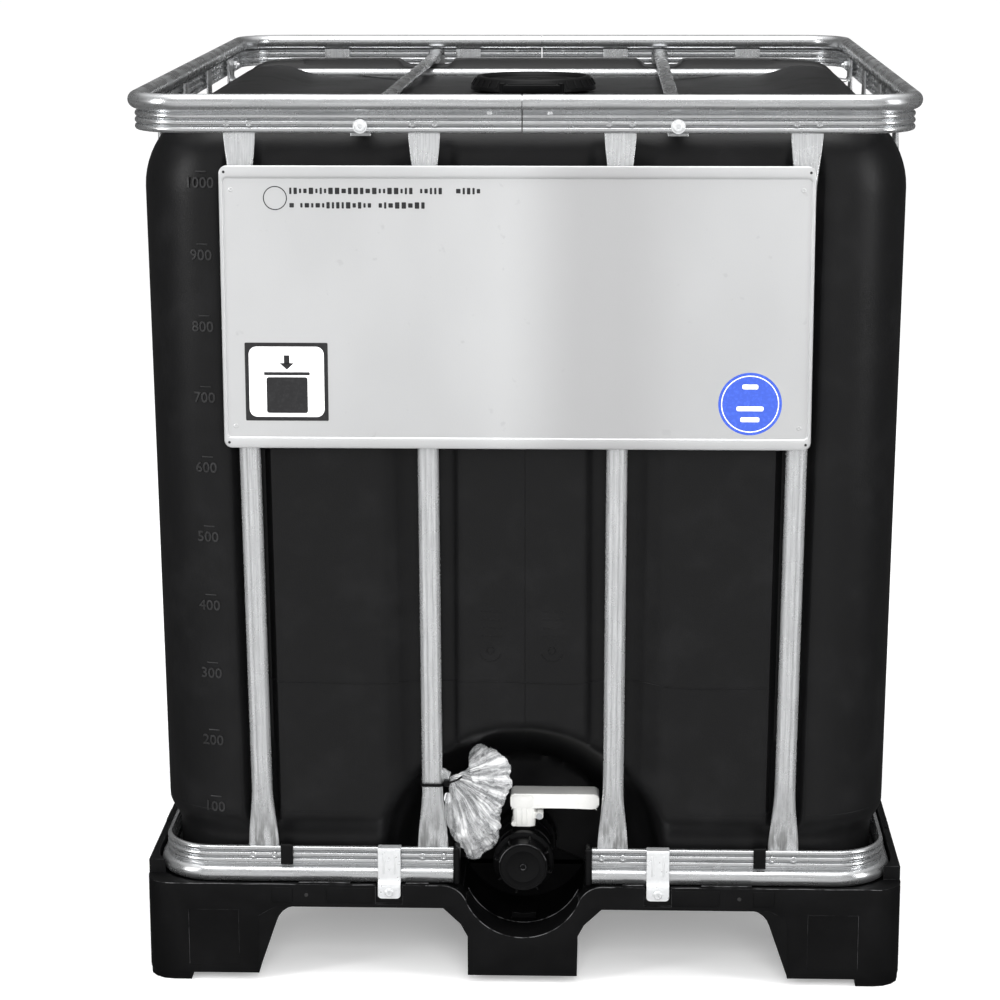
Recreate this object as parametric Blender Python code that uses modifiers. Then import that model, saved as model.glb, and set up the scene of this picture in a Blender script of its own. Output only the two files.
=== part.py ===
"""Intermediate bulk container: a blow-moulded bottle in a steel tube cage on a plastic pallet.

Metres, +Z up. The origin is the middle of the underside. The outlet valve and the label plate
face -Y, and +X is on the right of someone who faces them.
"""

import math

import bmesh
import bpy
from mathutils import Matrix, Vector

# Overall size: the top ring is the widest and the highest part.
HALF_X = 0.500
HALF_Y = 0.600
HEIGHT = 1.165
GAP = 0.0003

# Cage rings: a rolled bead with a ribbed web, mirrored for the lower ring.
BEAD_RADIUS = 0.011
BEAD_STEPS = 11
SHEET = 0.0015
WEB_CREST = 0.0085
WEB_GROOVE = 0.0118
WEB_DEPTH = 0.0485
RING_CORNER = 0.078
RING_STEPS = 4
LOW_INSET = 0.014
LOW_RING_Z = 0.131
LOW_HALF_X = HALF_X - LOW_INSET
LOW_HALF_Y = HALF_Y - LOW_INSET
RING_OPENING = 0.0913
SPLICE_LENGTH = 0.090

# Cage bars: oval tubes with flattened ends, inside the webs of both rings.
BAR_INSET = 0.0160
BAR_WALL = 0.0012
BAR_LOW = 0.1560
BAR_HIGH = 1.1425
BAR_SHAPE = (
    (0.000, 0.040, 0.0040),
    (0.028, 0.038, 0.0042),
    (0.065, 0.029, 0.0120),
    (0.130, 0.027, 0.0180),
)
FRONT_BARS = (-0.353, -0.122, 0.122, 0.353)
BACK_BARS = (-0.335, -0.120, 0.120, 0.335)
SIDE_BARS = (-0.360, -0.120, 0.120, 0.360)
BAR_TAPER = 0.966

# Bars over the bottle.
CROSS_Y = 0.400
CROSS_Z = 1.116
CROSS_BEND_Z = 1.1065
CROSS_TIP_Z = 1.1415
TOP_BAR_Z = 1.133
TOP_BEND_Z = 1.1395
TOP_TIP_Z = 1.1130
TOP_BARS = {"left": (-0.201, -0.172), "right": (0.193, 0.192)}
BOLT_Z = 1.1255
CROSS_BOLT_Z = 1.1300
BOLT_RADIUS = 0.0030
BOLT_HOLE = 0.0034

# Pallet.
PALLET_X = 0.497
PALLET_Y = 0.597
PALLET_CORNER = 0.035
FOOT_Z = 0.010
FORK_TOP = 0.103
SIDE_FORK_TOP = 0.1015
DECK_Z = 0.108
LEDGE_Z = 0.1305
LIP_Z = 0.134
WALL_Z = 0.152
SEAT_X = 0.4655
SEAT_Y = 0.5655
LIP = 0.0078
FOOT_IN_X = 0.348
FOOT_IN_Y = 0.480
CENTRE_FOOT = 0.072
LUG_IN_X = 0.438
CUP_WALL = 0.006

# Bottle.
WALL = 0.0022
BOTTLE_Z = DECK_Z + GAP
BOTTLE_LOW = (0.4765, 0.5765)
BOTTLE_HIGH = (0.4865, 0.5785)
BOTTLE_TOP = 1.135
SHOULDER_Z = 1.040
SHOULDER_RADIUS = 0.109
BOTTLE_CORNER = 0.100
BAND_Z = 0.190
BAND_INSET = 0.014
GROOVE_LOW = 0.0190
GROOVE_HIGH = 0.0150
GROOVE_HALF = 0.017
GROOVE_SLOPE = 0.007
CHANNEL_X = 0.090
CHANNEL_INSET = 0.008
TOP_RECESS_Z = 1.1225
CROSS_CHANNEL_Z = 1.0960
NECK_RADIUS = 0.0775
NECK_BORE = 0.0705
NECK_TOP = 1.1325

# Lid.
LID_Z = 1.144
LID_RADIUS = 0.081
LID_SKIRT = 0.090
LID_BOTTOM = 1.1250
GRIP_HALF = 0.041
GRIP_REACH = 0.0985
GRIP_POST_Y = -0.0940

# Outlet valve: distances forward of the origin, along -Y.
VALVE_Z = 0.146
ALCOVE_Z = 0.150
ALCOVE_FRONT_RADIUS = 0.195
ALCOVE_BACK_RADIUS = 0.110
ALCOVE_BACK = 0.415
SPOUT_END = 0.440
SPOUT_RADIUS = 0.030
SPOUT_BORE = 0.025
VALVE_BACK = 0.443
VALVE_BORE = 0.024
STEM_FORWARD = 0.495
BARREL_BACK = 0.460
BARREL_FRONT = 0.527
BARREL_RADIUS = 0.0385
CHAMBER = 0.0306
BALL = 0.0295
SPIGOT_END = 0.550
SPIGOT_RADIUS = 0.0295
BOSS_TOP = 0.1860
STEM_RADIUS = 0.0080
CAP_FRONT = 0.556
CAP_RADIUS = 0.033
CAP_FLANGE = 0.0405
RIBS = 8
RIB_START = 31
TROUGH_RADIUS = 0.080
BOWL_RADIUS = 0.088
TROUGH_Z = 0.143
LEVER_LOW = 0.2120
LEVER_HIGH = 0.2330
LEVER_HALF_DEPTH = 0.0175
LEVER_TAIL = 0.018
LEVER_TIP = 0.100
PIN_X = 0.0205
PIN_Z = 0.2025

# Label plate.
PLATE_LEFT = -0.378
PLATE_RIGHT = 0.364
PLATE_LOW = 0.719
PLATE_HIGH = 1.077
PLATE_BACK = 0.5934
PLATE_SHEET = 0.0010
PLATE_RIM = 0.0030
HEM_SIDE = 0.006
HEM_TOP = 0.016

# Small fittings on the lower ring.
CLAMPS = {
    "front_left": (-0.175, -1.0),
    "front_right": (0.1775, -1.0),
    "back_left": (-0.175, 1.0),
    "back_right": (0.175, 1.0),
}
CLAMP_HALF = 0.015
CLAMP_SCREW_Z = 0.1230
CLIP_X = 0.3105
CLIP_WIDTH = 0.016

# Accessory bag and its cable tie.
TIE_Z = 0.267
BAG_Y = -0.5475

COLOURS = {
    "galvanised steel": ((0.60, 0.61, 0.62), 0.38, 0.9),
    "bright sheet": ((0.78, 0.79, 0.80), 0.32, 0.9),
    "black polyethylene": ((0.018, 0.018, 0.020), 0.48, 0.0),
    "black moulding": ((0.030, 0.030, 0.032), 0.42, 0.0),
    "white moulding": ((0.86, 0.86, 0.84), 0.40, 0.0),
    "grey pin": ((0.42, 0.43, 0.44), 0.40, 0.0),
    "black rubber": ((0.015, 0.015, 0.015), 0.80, 0.0),
    "clear film": ((0.80, 0.81, 0.82), 0.25, 0.0),
}


# ---------------------------------------------------------------- scene helpers


def clear_scene():
    for item in list(bpy.data.objects):
        bpy.data.objects.remove(item, do_unlink=True)


def new_collection(name):
    group = bpy.data.collections.new(name)
    bpy.context.scene.collection.children.link(group)
    return group


def material(name):
    """The Principled material of that name, made on first use."""
    found = bpy.data.materials.get(name)
    if found:
        return found
    colour, roughness, metallic = COLOURS[name]
    made = bpy.data.materials.new(name)
    made.use_nodes = True
    shader = made.node_tree.nodes["Principled BSDF"]
    shader.inputs["Base Color"].default_value = (*colour, 1.0)
    shader.inputs["Roughness"].default_value = roughness
    shader.inputs["Metallic"].default_value = metallic
    return made


def add_part(name, mesh, surface, smooth=True):
    """Puts a mesh in the parts collection under its node name."""
    part = bpy.data.objects.new(name, mesh)
    PARTS.objects.link(part)
    mesh.name = name
    mesh.materials.clear()
    mesh.materials.append(material(surface))
    if smooth:
        mesh.shade_smooth()
        mesh.set_sharp_from_angle(angle=math.radians(35))
    return part


def add_guide(name, mesh):
    """A hidden wire object that only shapes a part."""
    guide = bpy.data.objects.new(name, mesh)
    CUTTERS.objects.link(guide)
    guide.hide_render = True
    guide.display_type = "WIRE"
    return guide


def combine(part, guide, operation):
    """Adds the Boolean that cuts a guide from a part, or joins it on."""
    change = part.modifiers.new(operation.title(), "BOOLEAN")
    change.operation = operation
    change.solver = "EXACT"
    change.object = guide


def boolean(part, mesh, operation="DIFFERENCE"):
    """Cuts a mesh from a part, or joins it on, and gives back the guide that does it."""
    guide = add_guide(f"{part.name}_{operation.lower()}", mesh)
    combine(part, guide, operation)
    return guide


def finish_mesh(work, name="shape"):
    """Turns a bmesh into a mesh whose faces point out."""
    bmesh.ops.recalc_face_normals(work, faces=work.faces)
    mesh = bpy.data.meshes.new(name)
    work.to_mesh(mesh)
    work.free()
    return mesh


def joined(*meshes):
    """One mesh that holds several separate closed shapes, for use as a guide."""
    work = bmesh.new()
    for mesh in meshes:
        work.from_mesh(mesh)
    return finish_mesh(work)


# ---------------------------------------------------------------- shapes


def box(low, high, bevel=0.0, segments=2):
    """A box between two corners, with its edges rounded."""
    low, high = Vector(low), Vector(high)
    work = bmesh.new()
    bmesh.ops.create_cube(work, size=1.0)
    bmesh.ops.scale(work, vec=high - low, verts=work.verts)
    bmesh.ops.translate(work, vec=(low + high) / 2, verts=work.verts)
    if bevel:
        bmesh.ops.bevel(
            work, geom=work.edges, offset=bevel, segments=segments, affect="EDGES", profile=0.5
        )
    return finish_mesh(work)


def cylinder(start, end, radius, steps=20, end_radius=None):
    """A cylinder, or a cone with two radii, from one point to another."""
    start, end = Vector(start), Vector(end)
    along = end - start
    turn = along.to_track_quat("Z", "Y").to_matrix().to_4x4()
    work = bmesh.new()
    bmesh.ops.create_cone(
        work,
        cap_ends=True,
        segments=steps,
        radius1=radius,
        radius2=radius if end_radius is None else end_radius,
        depth=along.length,
        matrix=Matrix.Translation((start + end) / 2) @ turn,
    )
    return finish_mesh(work)


def sphere(centre, radius, steps=20):
    work = bmesh.new()
    bmesh.ops.create_uvsphere(
        work,
        u_segments=steps,
        v_segments=steps // 2,
        radius=radius,
        matrix=Matrix.Translation(centre),
    )
    return finish_mesh(work)


def curve_mesh(curve, turn=None):
    """The closed mesh of a curve, with its loose caps welded."""
    item = bpy.data.objects.new("outline", curve)
    bpy.context.scene.collection.objects.link(item)
    item.matrix_world = turn or Matrix.Identity(4)
    bpy.context.view_layer.update()
    view = bpy.context.evaluated_depsgraph_get()
    mesh = bpy.data.meshes.new_from_object(item.evaluated_get(view))
    work = bmesh.new()
    work.from_mesh(mesh)
    bmesh.ops.transform(work, matrix=item.matrix_world, verts=work.verts)
    bmesh.ops.remove_doubles(work, verts=work.verts, dist=0.00001)
    bpy.data.objects.remove(item, do_unlink=True)
    return finish_mesh(work)


def poly_curve(points, cyclic):
    curve = bpy.data.curves.new("outline", "CURVE")
    spline = curve.splines.new("POLY")
    spline.points.add(len(points) - 1)
    for point, place in zip(spline.points, points):
        point.co = (*place, 1.0)
    spline.use_cyclic_u = cyclic
    return curve


def slab(outline, low, high, axis="Z"):
    """A flat outline extruded between two heights along X, Y or Z."""
    curve = poly_curve([(a, b, 0.0) for a, b in outline], True)
    curve.dimensions = "2D"
    curve.fill_mode = "BOTH"
    curve.extrude = (high - low) / 2
    middle = (low + high) / 2
    turns = {
        "Z": Matrix.Translation((0, 0, middle)),
        "Y": Matrix.Translation((0, middle, 0)) @ Matrix.Rotation(math.pi / 2, 4, "X"),
        "X": Matrix.Translation((middle, 0, 0))
        @ Matrix.Rotation(math.pi / 2, 4, "Z")
        @ Matrix.Rotation(math.pi / 2, 4, "X"),
    }
    return curve_mesh(curve, turns[axis])


def turned(part_name, profile, surface, steps=32, forward=False, closed=True):
    """A turned part: a profile of (radius, height) points with a Screw modifier.

    The profile runs down its outer side. With forward set the axis is the valve's, and a
    height is a distance forward of the origin. An open profile starts and ends on the axis.
    """
    work = bmesh.new()
    ring = [work.verts.new((radius, 0.0, height)) for radius, height in profile]
    pairs = list(zip(ring, ring[1:]))
    if closed:
        pairs.append((ring[-1], ring[0]))
    for first, second in pairs:
        work.edges.new((first, second))
    mesh = bpy.data.meshes.new(part_name)
    work.to_mesh(mesh)
    work.free()
    part = add_part(part_name, mesh, surface, smooth=False)
    screw = part.modifiers.new("Turn", "SCREW")
    screw.steps = steps
    screw.render_steps = steps
    screw.use_merge_vertices = True
    screw.merge_threshold = 0.00001
    screw.use_smooth_shade = True
    if forward:
        part.location = (0.0, 0.0, VALVE_Z)
        part.rotation_euler = (math.pi / 2, 0.0, 0.0)
    return part


def arc(centre, radius, start, end, steps):
    """Points of a circular arc, with both ends, for angles in degrees."""
    points = []
    for step in range(steps + 1):
        angle = math.radians(start + (end - start) * step / steps)
        points.append((centre[0] + radius * math.cos(angle), centre[1] + radius * math.sin(angle)))
    return points


def rounded_rectangle(half_x, half_y, radius, steps):
    """An anticlockwise outline that starts at the front right corner."""
    outline = []
    for sign_x, sign_y, start in ((1, -1, -90), (1, 1, 0), (-1, 1, 90), (-1, -1, 180)):
        centre = (sign_x * (half_x - radius), sign_y * (half_y - radius))
        outline += arc(centre, radius, start, start + 90, steps)
    return outline


def loft(sections, inner=None):
    """A solid through sections of equal length, or a tube between two sets of sections."""
    work = bmesh.new()

    def rows(places):
        return [[work.verts.new(point) for point in section] for section in places]

    def skin(levels):
        count = len(levels[0])
        for lower, upper in zip(levels, levels[1:]):
            for i in range(count):
                j = (i + 1) % count
                work.faces.new((lower[i], lower[j], upper[j], upper[i]))

    outside = rows(sections)
    skin(outside)
    if inner is None:
        work.faces.new(outside[0])
        work.faces.new(outside[-1])
        return finish_mesh(work)
    inside = rows(inner)
    skin(inside)
    for end in (0, -1):
        skin([outside[end], inside[end]])
    return finish_mesh(work)


def oval(centre, across, through, width, depth):
    """An eight-sided oval tube section, wide along one direction and deep along the other."""
    corner = 0.28 * depth
    half_w, half_d = width / 2, depth / 2
    quarter = ((half_w - corner, -half_d), (half_w, corner - half_d))
    shape = list(quarter)
    shape += [(a, -b) for a, b in reversed(quarter)]
    shape += [(-a, -b) for a, b in shape]
    return [centre + across * a + through * b for a, b in shape]


def tube_through(stations, across, wall):
    """A hollow tube through stations of (centre, through, width, depth)."""
    outer = []
    inner = []
    for centre, through, width, depth in stations:
        outer.append(oval(centre, across, through, width, depth))
        inner.append(oval(centre, across, through, width - 2 * wall, depth - 2 * wall))
    return loft(outer, inner)


def folded_strip(name, path, width, x, side, surface, sheet):
    """A strip folded from sheet. The path has (distance outward, height) points."""
    work = bmesh.new()
    rows = []
    for outward, height in path:
        left = work.verts.new((x - width / 2, side * outward, height))
        right = work.verts.new((x + width / 2, side * outward, height))
        rows.append((left, right))
    for (a, b), (c, d) in zip(rows, rows[1:]):
        work.faces.new((a, b, d, c))
    mesh = finish_mesh(work, name)
    part = add_part(name, mesh, surface, smooth=False)
    thick = part.modifiers.new("Sheet", "SOLIDIFY")
    thick.thickness = sheet
    thick.offset = 0.0
    thick.use_even_offset = True
    return part


# ---------------------------------------------------------------- cage


def ring_profile(bead_z, towards):
    """Points (inset, height) of the rolled bead and its ribbed web.

    The inset is measured inward from the bead's outermost line. The web runs from the bead
    towards the given side: -1 below it for the top ring, +1 above it for the lower ring.
    """
    bead = []
    for radius in (BEAD_RADIUS, BEAD_RADIUS - SHEET):
        turn = arc((BEAD_RADIUS, 0.0), radius, -90, 240, BEAD_STEPS)
        bead.append([(2 * BEAD_RADIUS - a, b) for a, b in turn])
    outer, inner = bead
    web = [(WEB_GROOVE, -0.0125)]
    for rib in range(3):
        top = -0.0145 - 0.0083 * rib
        web += [(WEB_CREST, top), (WEB_CREST, top - 0.0050), (WEB_GROOVE, top - 0.0067)]
    web[-1] = (WEB_CREST + SHEET, BEAD_RADIUS - WEB_DEPTH)
    back = [(inset + SHEET, height) for inset, height in reversed(web)]
    profile = outer[::-1] + web + back + inner
    return [(inset, bead_z - towards * height) for inset, height in profile]


def ring_path(half_x, half_y, start_x, corners):
    """Path points, each with its inward direction, from the front round the given corners."""
    first = corners[0][0]
    path = [((first * start_x, -half_y), (0.0, 1.0))]
    for sign_x, sign_y in corners:
        centre = (sign_x * (half_x - RING_CORNER), sign_y * (half_y - RING_CORNER))
        entry_y = sign_x * sign_y * first > 0
        for step in range(RING_STEPS + 1):
            part = step / RING_STEPS
            angle = math.pi / 2 * (part if not entry_y else 1.0 - part)
            out = (sign_x * math.sin(angle), sign_y * math.cos(angle))
            place = (centre[0] + RING_CORNER * out[0], centre[1] + RING_CORNER * out[1])
            path.append((place, (-out[0], -out[1])))
    last_x, last_y = corners[-1]
    path.append(((last_x * start_x, last_y * half_y), (0.0, -float(last_y))))
    return path


def ring_mesh(profile, path):
    """The ring's section carried along its path."""
    sections = []
    for place, inward in path:
        section = []
        for inset, height in profile:
            section.append(
                Vector((place[0] + inward[0] * inset, place[1] + inward[1] * inset, height))
            )
        sections.append(section)
    return loft(sections)


def build_rings():
    bead_top = HEIGHT - BEAD_RADIUS
    profile = ring_profile(bead_top, -1)
    rings = {}
    for name, sign in (("left", -1), ("right", 1)):
        path = ring_path(HALF_X, HALF_Y, GAP / 2, ((sign, -1), (sign, 1)))
        rings[name] = add_part(f"top_ring_{name}", ring_mesh(profile, path), "galvanised steel")
    for name, side in (("front", -1), ("back", 1)):
        centre_y = side * (HALF_Y - BEAD_RADIUS)
        radius = BEAD_RADIUS - SHEET - GAP * 2
        half = SPLICE_LENGTH / 2
        outer = cylinder((-half, centre_y, bead_top), (half, centre_y, bead_top), radius, 16)
        bore = cylinder(
            (-half - 0.01, centre_y, bead_top), (half + 0.01, centre_y, bead_top), radius - 0.002, 16
        )
        splice = add_part(f"ring_splice_{name}", outer, "galvanised steel")
        boolean(splice, bore)
    profile = ring_profile(LOW_RING_Z + BEAD_RADIUS, 1)
    corners = ((-1, -1), (-1, 1), (1, 1), (1, -1))
    path = ring_path(LOW_HALF_X, LOW_HALF_Y, RING_OPENING, corners)
    add_part("bottom_ring", ring_mesh(profile, path), "galvanised steel")
    for name, sign in (("left", -1), ("right", 1)):
        near, far = sorted((sign * 0.0822, sign * (RING_OPENING - GAP)))
        low = (near, -LOW_HALF_Y - 0.0024, LOW_RING_Z + GAP)
        high = (far, -LOW_HALF_Y + 0.0245, 0.1825)
        add_part(f"ring_end_cap_{name}", box(low, high, 0.0025), "black moulding")
    return rings


def bar_mesh(low, high, outward):
    """A cage bar from its lower to its upper end, flattened against the rings at both."""
    low, high, outward = Vector(low), Vector(high), Vector(outward)
    across = outward.cross(Vector((0, 0, 1)))
    length = high.z - low.z
    heights = [(rise, width, depth) for rise, width, depth in BAR_SHAPE]
    heights += [(length - rise, width, depth) for rise, width, depth in reversed(BAR_SHAPE)]
    stations = []
    for rise, width, depth in heights:
        stations.append((low.lerp(high, rise / length), outward, width, depth))
    return tube_through(stations, across, BAR_WALL)


def build_bars():
    top_y, low_y = HALF_Y - BAR_INSET, LOW_HALF_Y - BAR_INSET
    top_x, low_x = HALF_X - BAR_INSET, LOW_HALF_X - BAR_INSET
    for side, sign, places in (("front", -1, FRONT_BARS), ("back", 1, BACK_BARS)):
        for number, x in enumerate(places, 1):
            low = (x * BAR_TAPER, sign * low_y, BAR_LOW)
            high = (x, sign * top_y, BAR_HIGH)
            add_part(f"{side}_bar_{number}", bar_mesh(low, high, (0, sign, 0)), "galvanised steel")
    for side, sign in (("left", -1), ("right", 1)):
        for number, y in enumerate(SIDE_BARS, 1):
            low = (sign * low_x, y * BAR_TAPER, BAR_LOW)
            high = (sign * top_x, y, BAR_HIGH)
            add_part(f"{side}_bar_{number}", bar_mesh(low, high, (sign, 0, 0)), "galvanised steel")


def bent_tube(path, depths, widths, across):
    """A hollow tube along a bent path, with its own width and depth at each point."""
    stations = []
    for i, centre in enumerate(path):
        before = path[max(i - 1, 0)]
        after = path[min(i + 1, len(path) - 1)]
        along = (after - before).normalized()
        stations.append((centre, along.cross(across), widths[i], depths[i]))
    return tube_through(stations, across, BAR_WALL)


def end_bend(reach, run_z, bend_z, tip_z):
    """The outer part of a bent bar: (distance out, height) up to its flattened tip."""
    onward = 1 if tip_z > bend_z else -1
    return (
        (reach - 0.070, run_z),
        (reach - 0.032, run_z + (bend_z - run_z) * 0.6),
        (reach - 0.012, bend_z),
        (reach - 0.003, bend_z + onward * 0.0010),
        (reach, bend_z + onward * 0.0055),
        (reach, tip_z),
    )


def build_top_bars(rings):
    """The round cross tube and the two flat bars over it, each bolted inside the top ring."""
    reach = HALF_X - BAR_INSET
    half = end_bend(reach, CROSS_Z, CROSS_BEND_Z, CROSS_TIP_Z)
    path = [Vector((-out, CROSS_Y, height)) for out, height in reversed(half)]
    path += [Vector((out, CROSS_Y, height)) for out, height in half]
    round_end = [0.016, 0.014, 0.008, 0.0045, 0.0040, 0.0040]
    wide_end = [0.016, 0.017, 0.020, 0.023, 0.024, 0.022]
    tube = bent_tube(
        path, round_end[::-1] + round_end, wide_end[::-1] + wide_end, Vector((0, 1, 0))
    )
    cross = add_part("cross_tube", tube, "galvanised steel")
    for side, sign in (("left", -1), ("right", 1)):
        place = (sign * HALF_X, CROSS_Y, CROSS_BOLT_Z)
        bolt(f"cross_bolt_{side}", place, (sign, 0, 0), cross, rings[side])
    for side, (front_x, back_x) in TOP_BARS.items():
        reach = HALF_Y - BAR_INSET
        half = end_bend(reach, TOP_BAR_Z, TOP_BEND_Z, TOP_TIP_Z)
        path = []
        for sign in (-1, 1):
            for out, height in (reversed(half) if sign < 0 else half):
                share = (sign * out / reach + 1) / 2
                path.append(Vector((front_x + (back_x - front_x) * share, sign * out, height)))
        flat_end = [0.012, 0.011, 0.007, 0.0045, 0.0040, 0.0040]
        wide_end = [0.020, 0.021, 0.024, 0.026, 0.026, 0.026]
        tube = bent_tube(
            path, flat_end[::-1] + flat_end, wide_end[::-1] + wide_end, Vector((1, 0, 0))
        )
        bar = add_part(f"top_bar_{side}", tube, "galvanised steel")
        for end, sign, x in (("front", -1, front_x), ("back", 1, back_x)):
            place = (x, sign * HALF_Y, BOLT_Z)
            bolt(f"top_bolt_{end}_{side}", place, (0, sign, 0), bar, rings[side])


def bolt(name, place, outward, bar, ring):
    """A round-head bolt with its nut, through the ring's web and a bar's flattened end."""
    place, outward = Vector(place), Vector(outward)

    def at(inset):
        return place - outward * inset

    head_back = WEB_CREST - GAP
    nut_front = BAR_INSET + 0.002 + GAP
    head = cylinder(at(head_back), at(head_back - 0.0035), 0.0088, 16, end_radius=0.0060)
    part = add_part(name, head, "galvanised steel")
    boolean(part, cylinder(at(head_back - 0.001), at(nut_front + 0.004), BOLT_RADIUS, 10), "UNION")
    boolean(part, cylinder(at(nut_front), at(nut_front + 0.005), 0.0065, 6), "UNION")
    for piece in (bar, ring):
        boolean(piece, cylinder(at(0.0), at(0.030), BOLT_HOLE, 10))


# ---------------------------------------------------------------- pallet


def build_pallet():
    outline = rounded_rectangle(PALLET_X, PALLET_Y, PALLET_CORNER, 4)
    pallet = add_part("pallet", slab(outline, FOOT_Z, WALL_Z), "black moulding")
    seat = rounded_rectangle(SEAT_X, SEAT_Y, 0.060, 4)
    boolean(pallet, slab(seat, DECK_Z, 0.20))
    ledge = rounded_rectangle(PALLET_X - LIP, PALLET_Y - LIP, RING_CORNER, 5)
    boolean(pallet, slab(ledge, LEDGE_Z, 0.20))
    ends = []
    for sign in (-1, 1):
        near, far = sorted((sign * 0.555, sign * 0.70))
        ends.append(box((-0.6, near, LIP_Z), (0.6, far, 0.20)))
    boolean(pallet, joined(*ends))
    cut_forks(pallet)
    cut_cups(pallet)
    for sign_x in (-1, 1):
        for sign_y in (-1, 1):
            boolean(pallet, lug_mesh(sign_x, sign_y), "UNION")
    axis = (0.0, -0.70, TROUGH_Z)
    boolean(pallet, cylinder(axis, (0.0, -0.540, TROUGH_Z), TROUGH_RADIUS, 40))
    bowl = cylinder((0.0, -0.545, TROUGH_Z), (0.0, -0.418, TROUGH_Z), BOWL_RADIUS, 40)
    boolean(pallet, bowl)
    return pallet


def cut_forks(pallet):
    """Fork tunnels both ways, which leave nine feet."""
    half = (
        (CENTRE_FOOT, -0.05),
        (CENTRE_FOOT, 0.064),
        (0.081, 0.081),
        (0.104, FORK_TOP),
        (0.325, FORK_TOP),
        (FOOT_IN_X, 0.090),
        (FOOT_IN_X, -0.05),
    )
    for sign in (-1, 1):
        outline = [(sign * x, height) for x, height in half]
        boolean(pallet, slab(outline, -0.70, 0.70, axis="Y"))
        side = [
            (sign * CENTRE_FOOT, -0.05),
            (sign * CENTRE_FOOT, SIDE_FORK_TOP),
            (sign * (FOOT_IN_Y - 0.025), SIDE_FORK_TOP),
            (sign * FOOT_IN_Y, 0.086),
            (sign * FOOT_IN_Y, -0.05),
        ]
        boolean(pallet, slab(side, -0.60, 0.60, axis="X"))


def cut_cups(pallet):
    """Hollows in the feet, open at the deck. The front middle foot carries the valve bowl."""
    near_x, far_x = FOOT_IN_X + CUP_WALL, SEAT_X - CUP_WALL
    near_y, far_y = FOOT_IN_Y + CUP_WALL, SEAT_Y - CUP_WALL
    middle = CENTRE_FOOT - CUP_WALL
    across = ((-far_x, -near_x), (-middle, middle), (near_x, far_x))
    along = ((-far_y, -near_y), (-middle, middle), (near_y, far_y))
    cups = []
    for low_x, high_x in across:
        for low_y, high_y in along:
            if low_x == -middle and high_y < -middle:
                continue
            cups.append(box((low_x, low_y, FOOT_Z + CUP_WALL), (high_x, high_y, DECK_Z + 0.01)))
    boolean(pallet, joined(*cups))


def lug_mesh(sign_x, sign_y):
    """The low outer part of a corner foot, which stands on the floor."""
    outline = [
        (LUG_IN_X, FOOT_IN_Y),
        (PALLET_X - 0.001, FOOT_IN_Y),
        *arc((PALLET_X - 0.036, PALLET_Y - 0.036), 0.035, 0, 90, 4),
        (LUG_IN_X, PALLET_Y - 0.001),
    ]
    return slab([(sign_x * x, sign_y * y) for x, y in outline], 0.0, FOOT_Z + 0.003)


# ---------------------------------------------------------------- bottle


def bottle_inset(height):
    """How far the bottle's flat sides stand back at a height."""
    if height <= BAND_Z:
        low = max(0.0, 0.125 - height) / 0.0165
        return BAND_INSET + 0.016 * low**2
    if height <= 0.225:
        return BAND_INSET * (0.225 - height) / (0.225 - BAND_Z)
    rise = max(0.0, height - SHOULDER_Z)
    return SHOULDER_RADIUS - math.sqrt(SHOULDER_RADIUS**2 - rise**2)


def bottle_side(places, inset, groove, height, wall):
    """Points (along, inset) of one flat side, with a groove behind each bar."""
    share = (height - BAR_LOW) / (BAR_HIGH - BAR_LOW)
    taper = BAR_TAPER + (1 - BAR_TAPER) * share
    half = GROOVE_HALF + wall
    side = []
    for place in places:
        centre = place * taper
        side += [
            (centre - half - GROOVE_SLOPE, inset),
            (centre - half, groove),
            (centre + half, groove),
            (centre + half + GROOVE_SLOPE, inset),
        ]
    return side


def bottle_section(height, wall):
    """The bottle's outline at a height, moved inward by a wall thickness."""
    share = (height - BAND_Z) / (SHOULDER_Z - BAND_Z)
    share = min(max(share, 0.0), 1.0)
    half_x = BOTTLE_LOW[0] + (BOTTLE_HIGH[0] - BOTTLE_LOW[0]) * share - wall
    half_y = BOTTLE_LOW[1] + (BOTTLE_HIGH[1] - BOTTLE_LOW[1]) * share - wall
    inset = bottle_inset(height)
    groove = max(inset, GROOVE_LOW + (GROOVE_HIGH - GROOVE_LOW) * share)
    if height <= BAND_Z:
        groove = inset
    back = bottle_side(BACK_BARS, inset, groove, height, wall)
    side = bottle_side(SIDE_BARS, inset, groove, height, wall)
    front = bottle_side(FRONT_BARS, inset, groove, height, wall)
    channel = max(inset, CHANNEL_INSET if BAND_Z < height < SHOULDER_Z else inset)
    front[6] = (-CHANNEL_X, groove)
    front[7] = (-CHANNEL_X + GROOVE_SLOPE, channel)
    front[8] = (CHANNEL_X - GROOVE_SLOPE, channel)
    front[9] = (CHANNEL_X, groove)
    corner = BOTTLE_CORNER - wall - inset
    centre_x, centre_y = half_x + wall - BOTTLE_CORNER, half_y + wall - BOTTLE_CORNER
    outline = [(x, depth - half_y) for x, depth in front]
    outline += arc((centre_x, -centre_y), corner, -90, 0, 3)
    outline += [(half_x - depth, y) for y, depth in side]
    outline += arc((centre_x, centre_y), corner, 0, 90, 3)
    outline += [(-x, half_y - depth) for x, depth in back]
    outline += arc((-centre_x, centre_y), corner, 90, 180, 3)
    outline += [(depth - half_x, -y) for y, depth in side]
    outline += arc((-centre_x, -centre_y), corner, 180, 270, 3)
    return [Vector((x, y, height)) for x, y in outline]


def bottle_body(wall):
    """The bottle's closed form, or its inside when wall is more than zero."""
    heights = [0.1150, 0.1250, BAND_Z, 0.225, SHOULDER_Z, 1.075, 1.105]
    sections = [bottle_section(BOTTLE_Z + wall, wall)]
    sections += [bottle_section(height, wall) for height in heights]
    top = BOTTLE_TOP - wall
    last = bottle_section(BOTTLE_TOP, wall)
    sections.append([Vector((point.x, point.y, top)) for point in last])
    return loft(sections)


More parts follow.
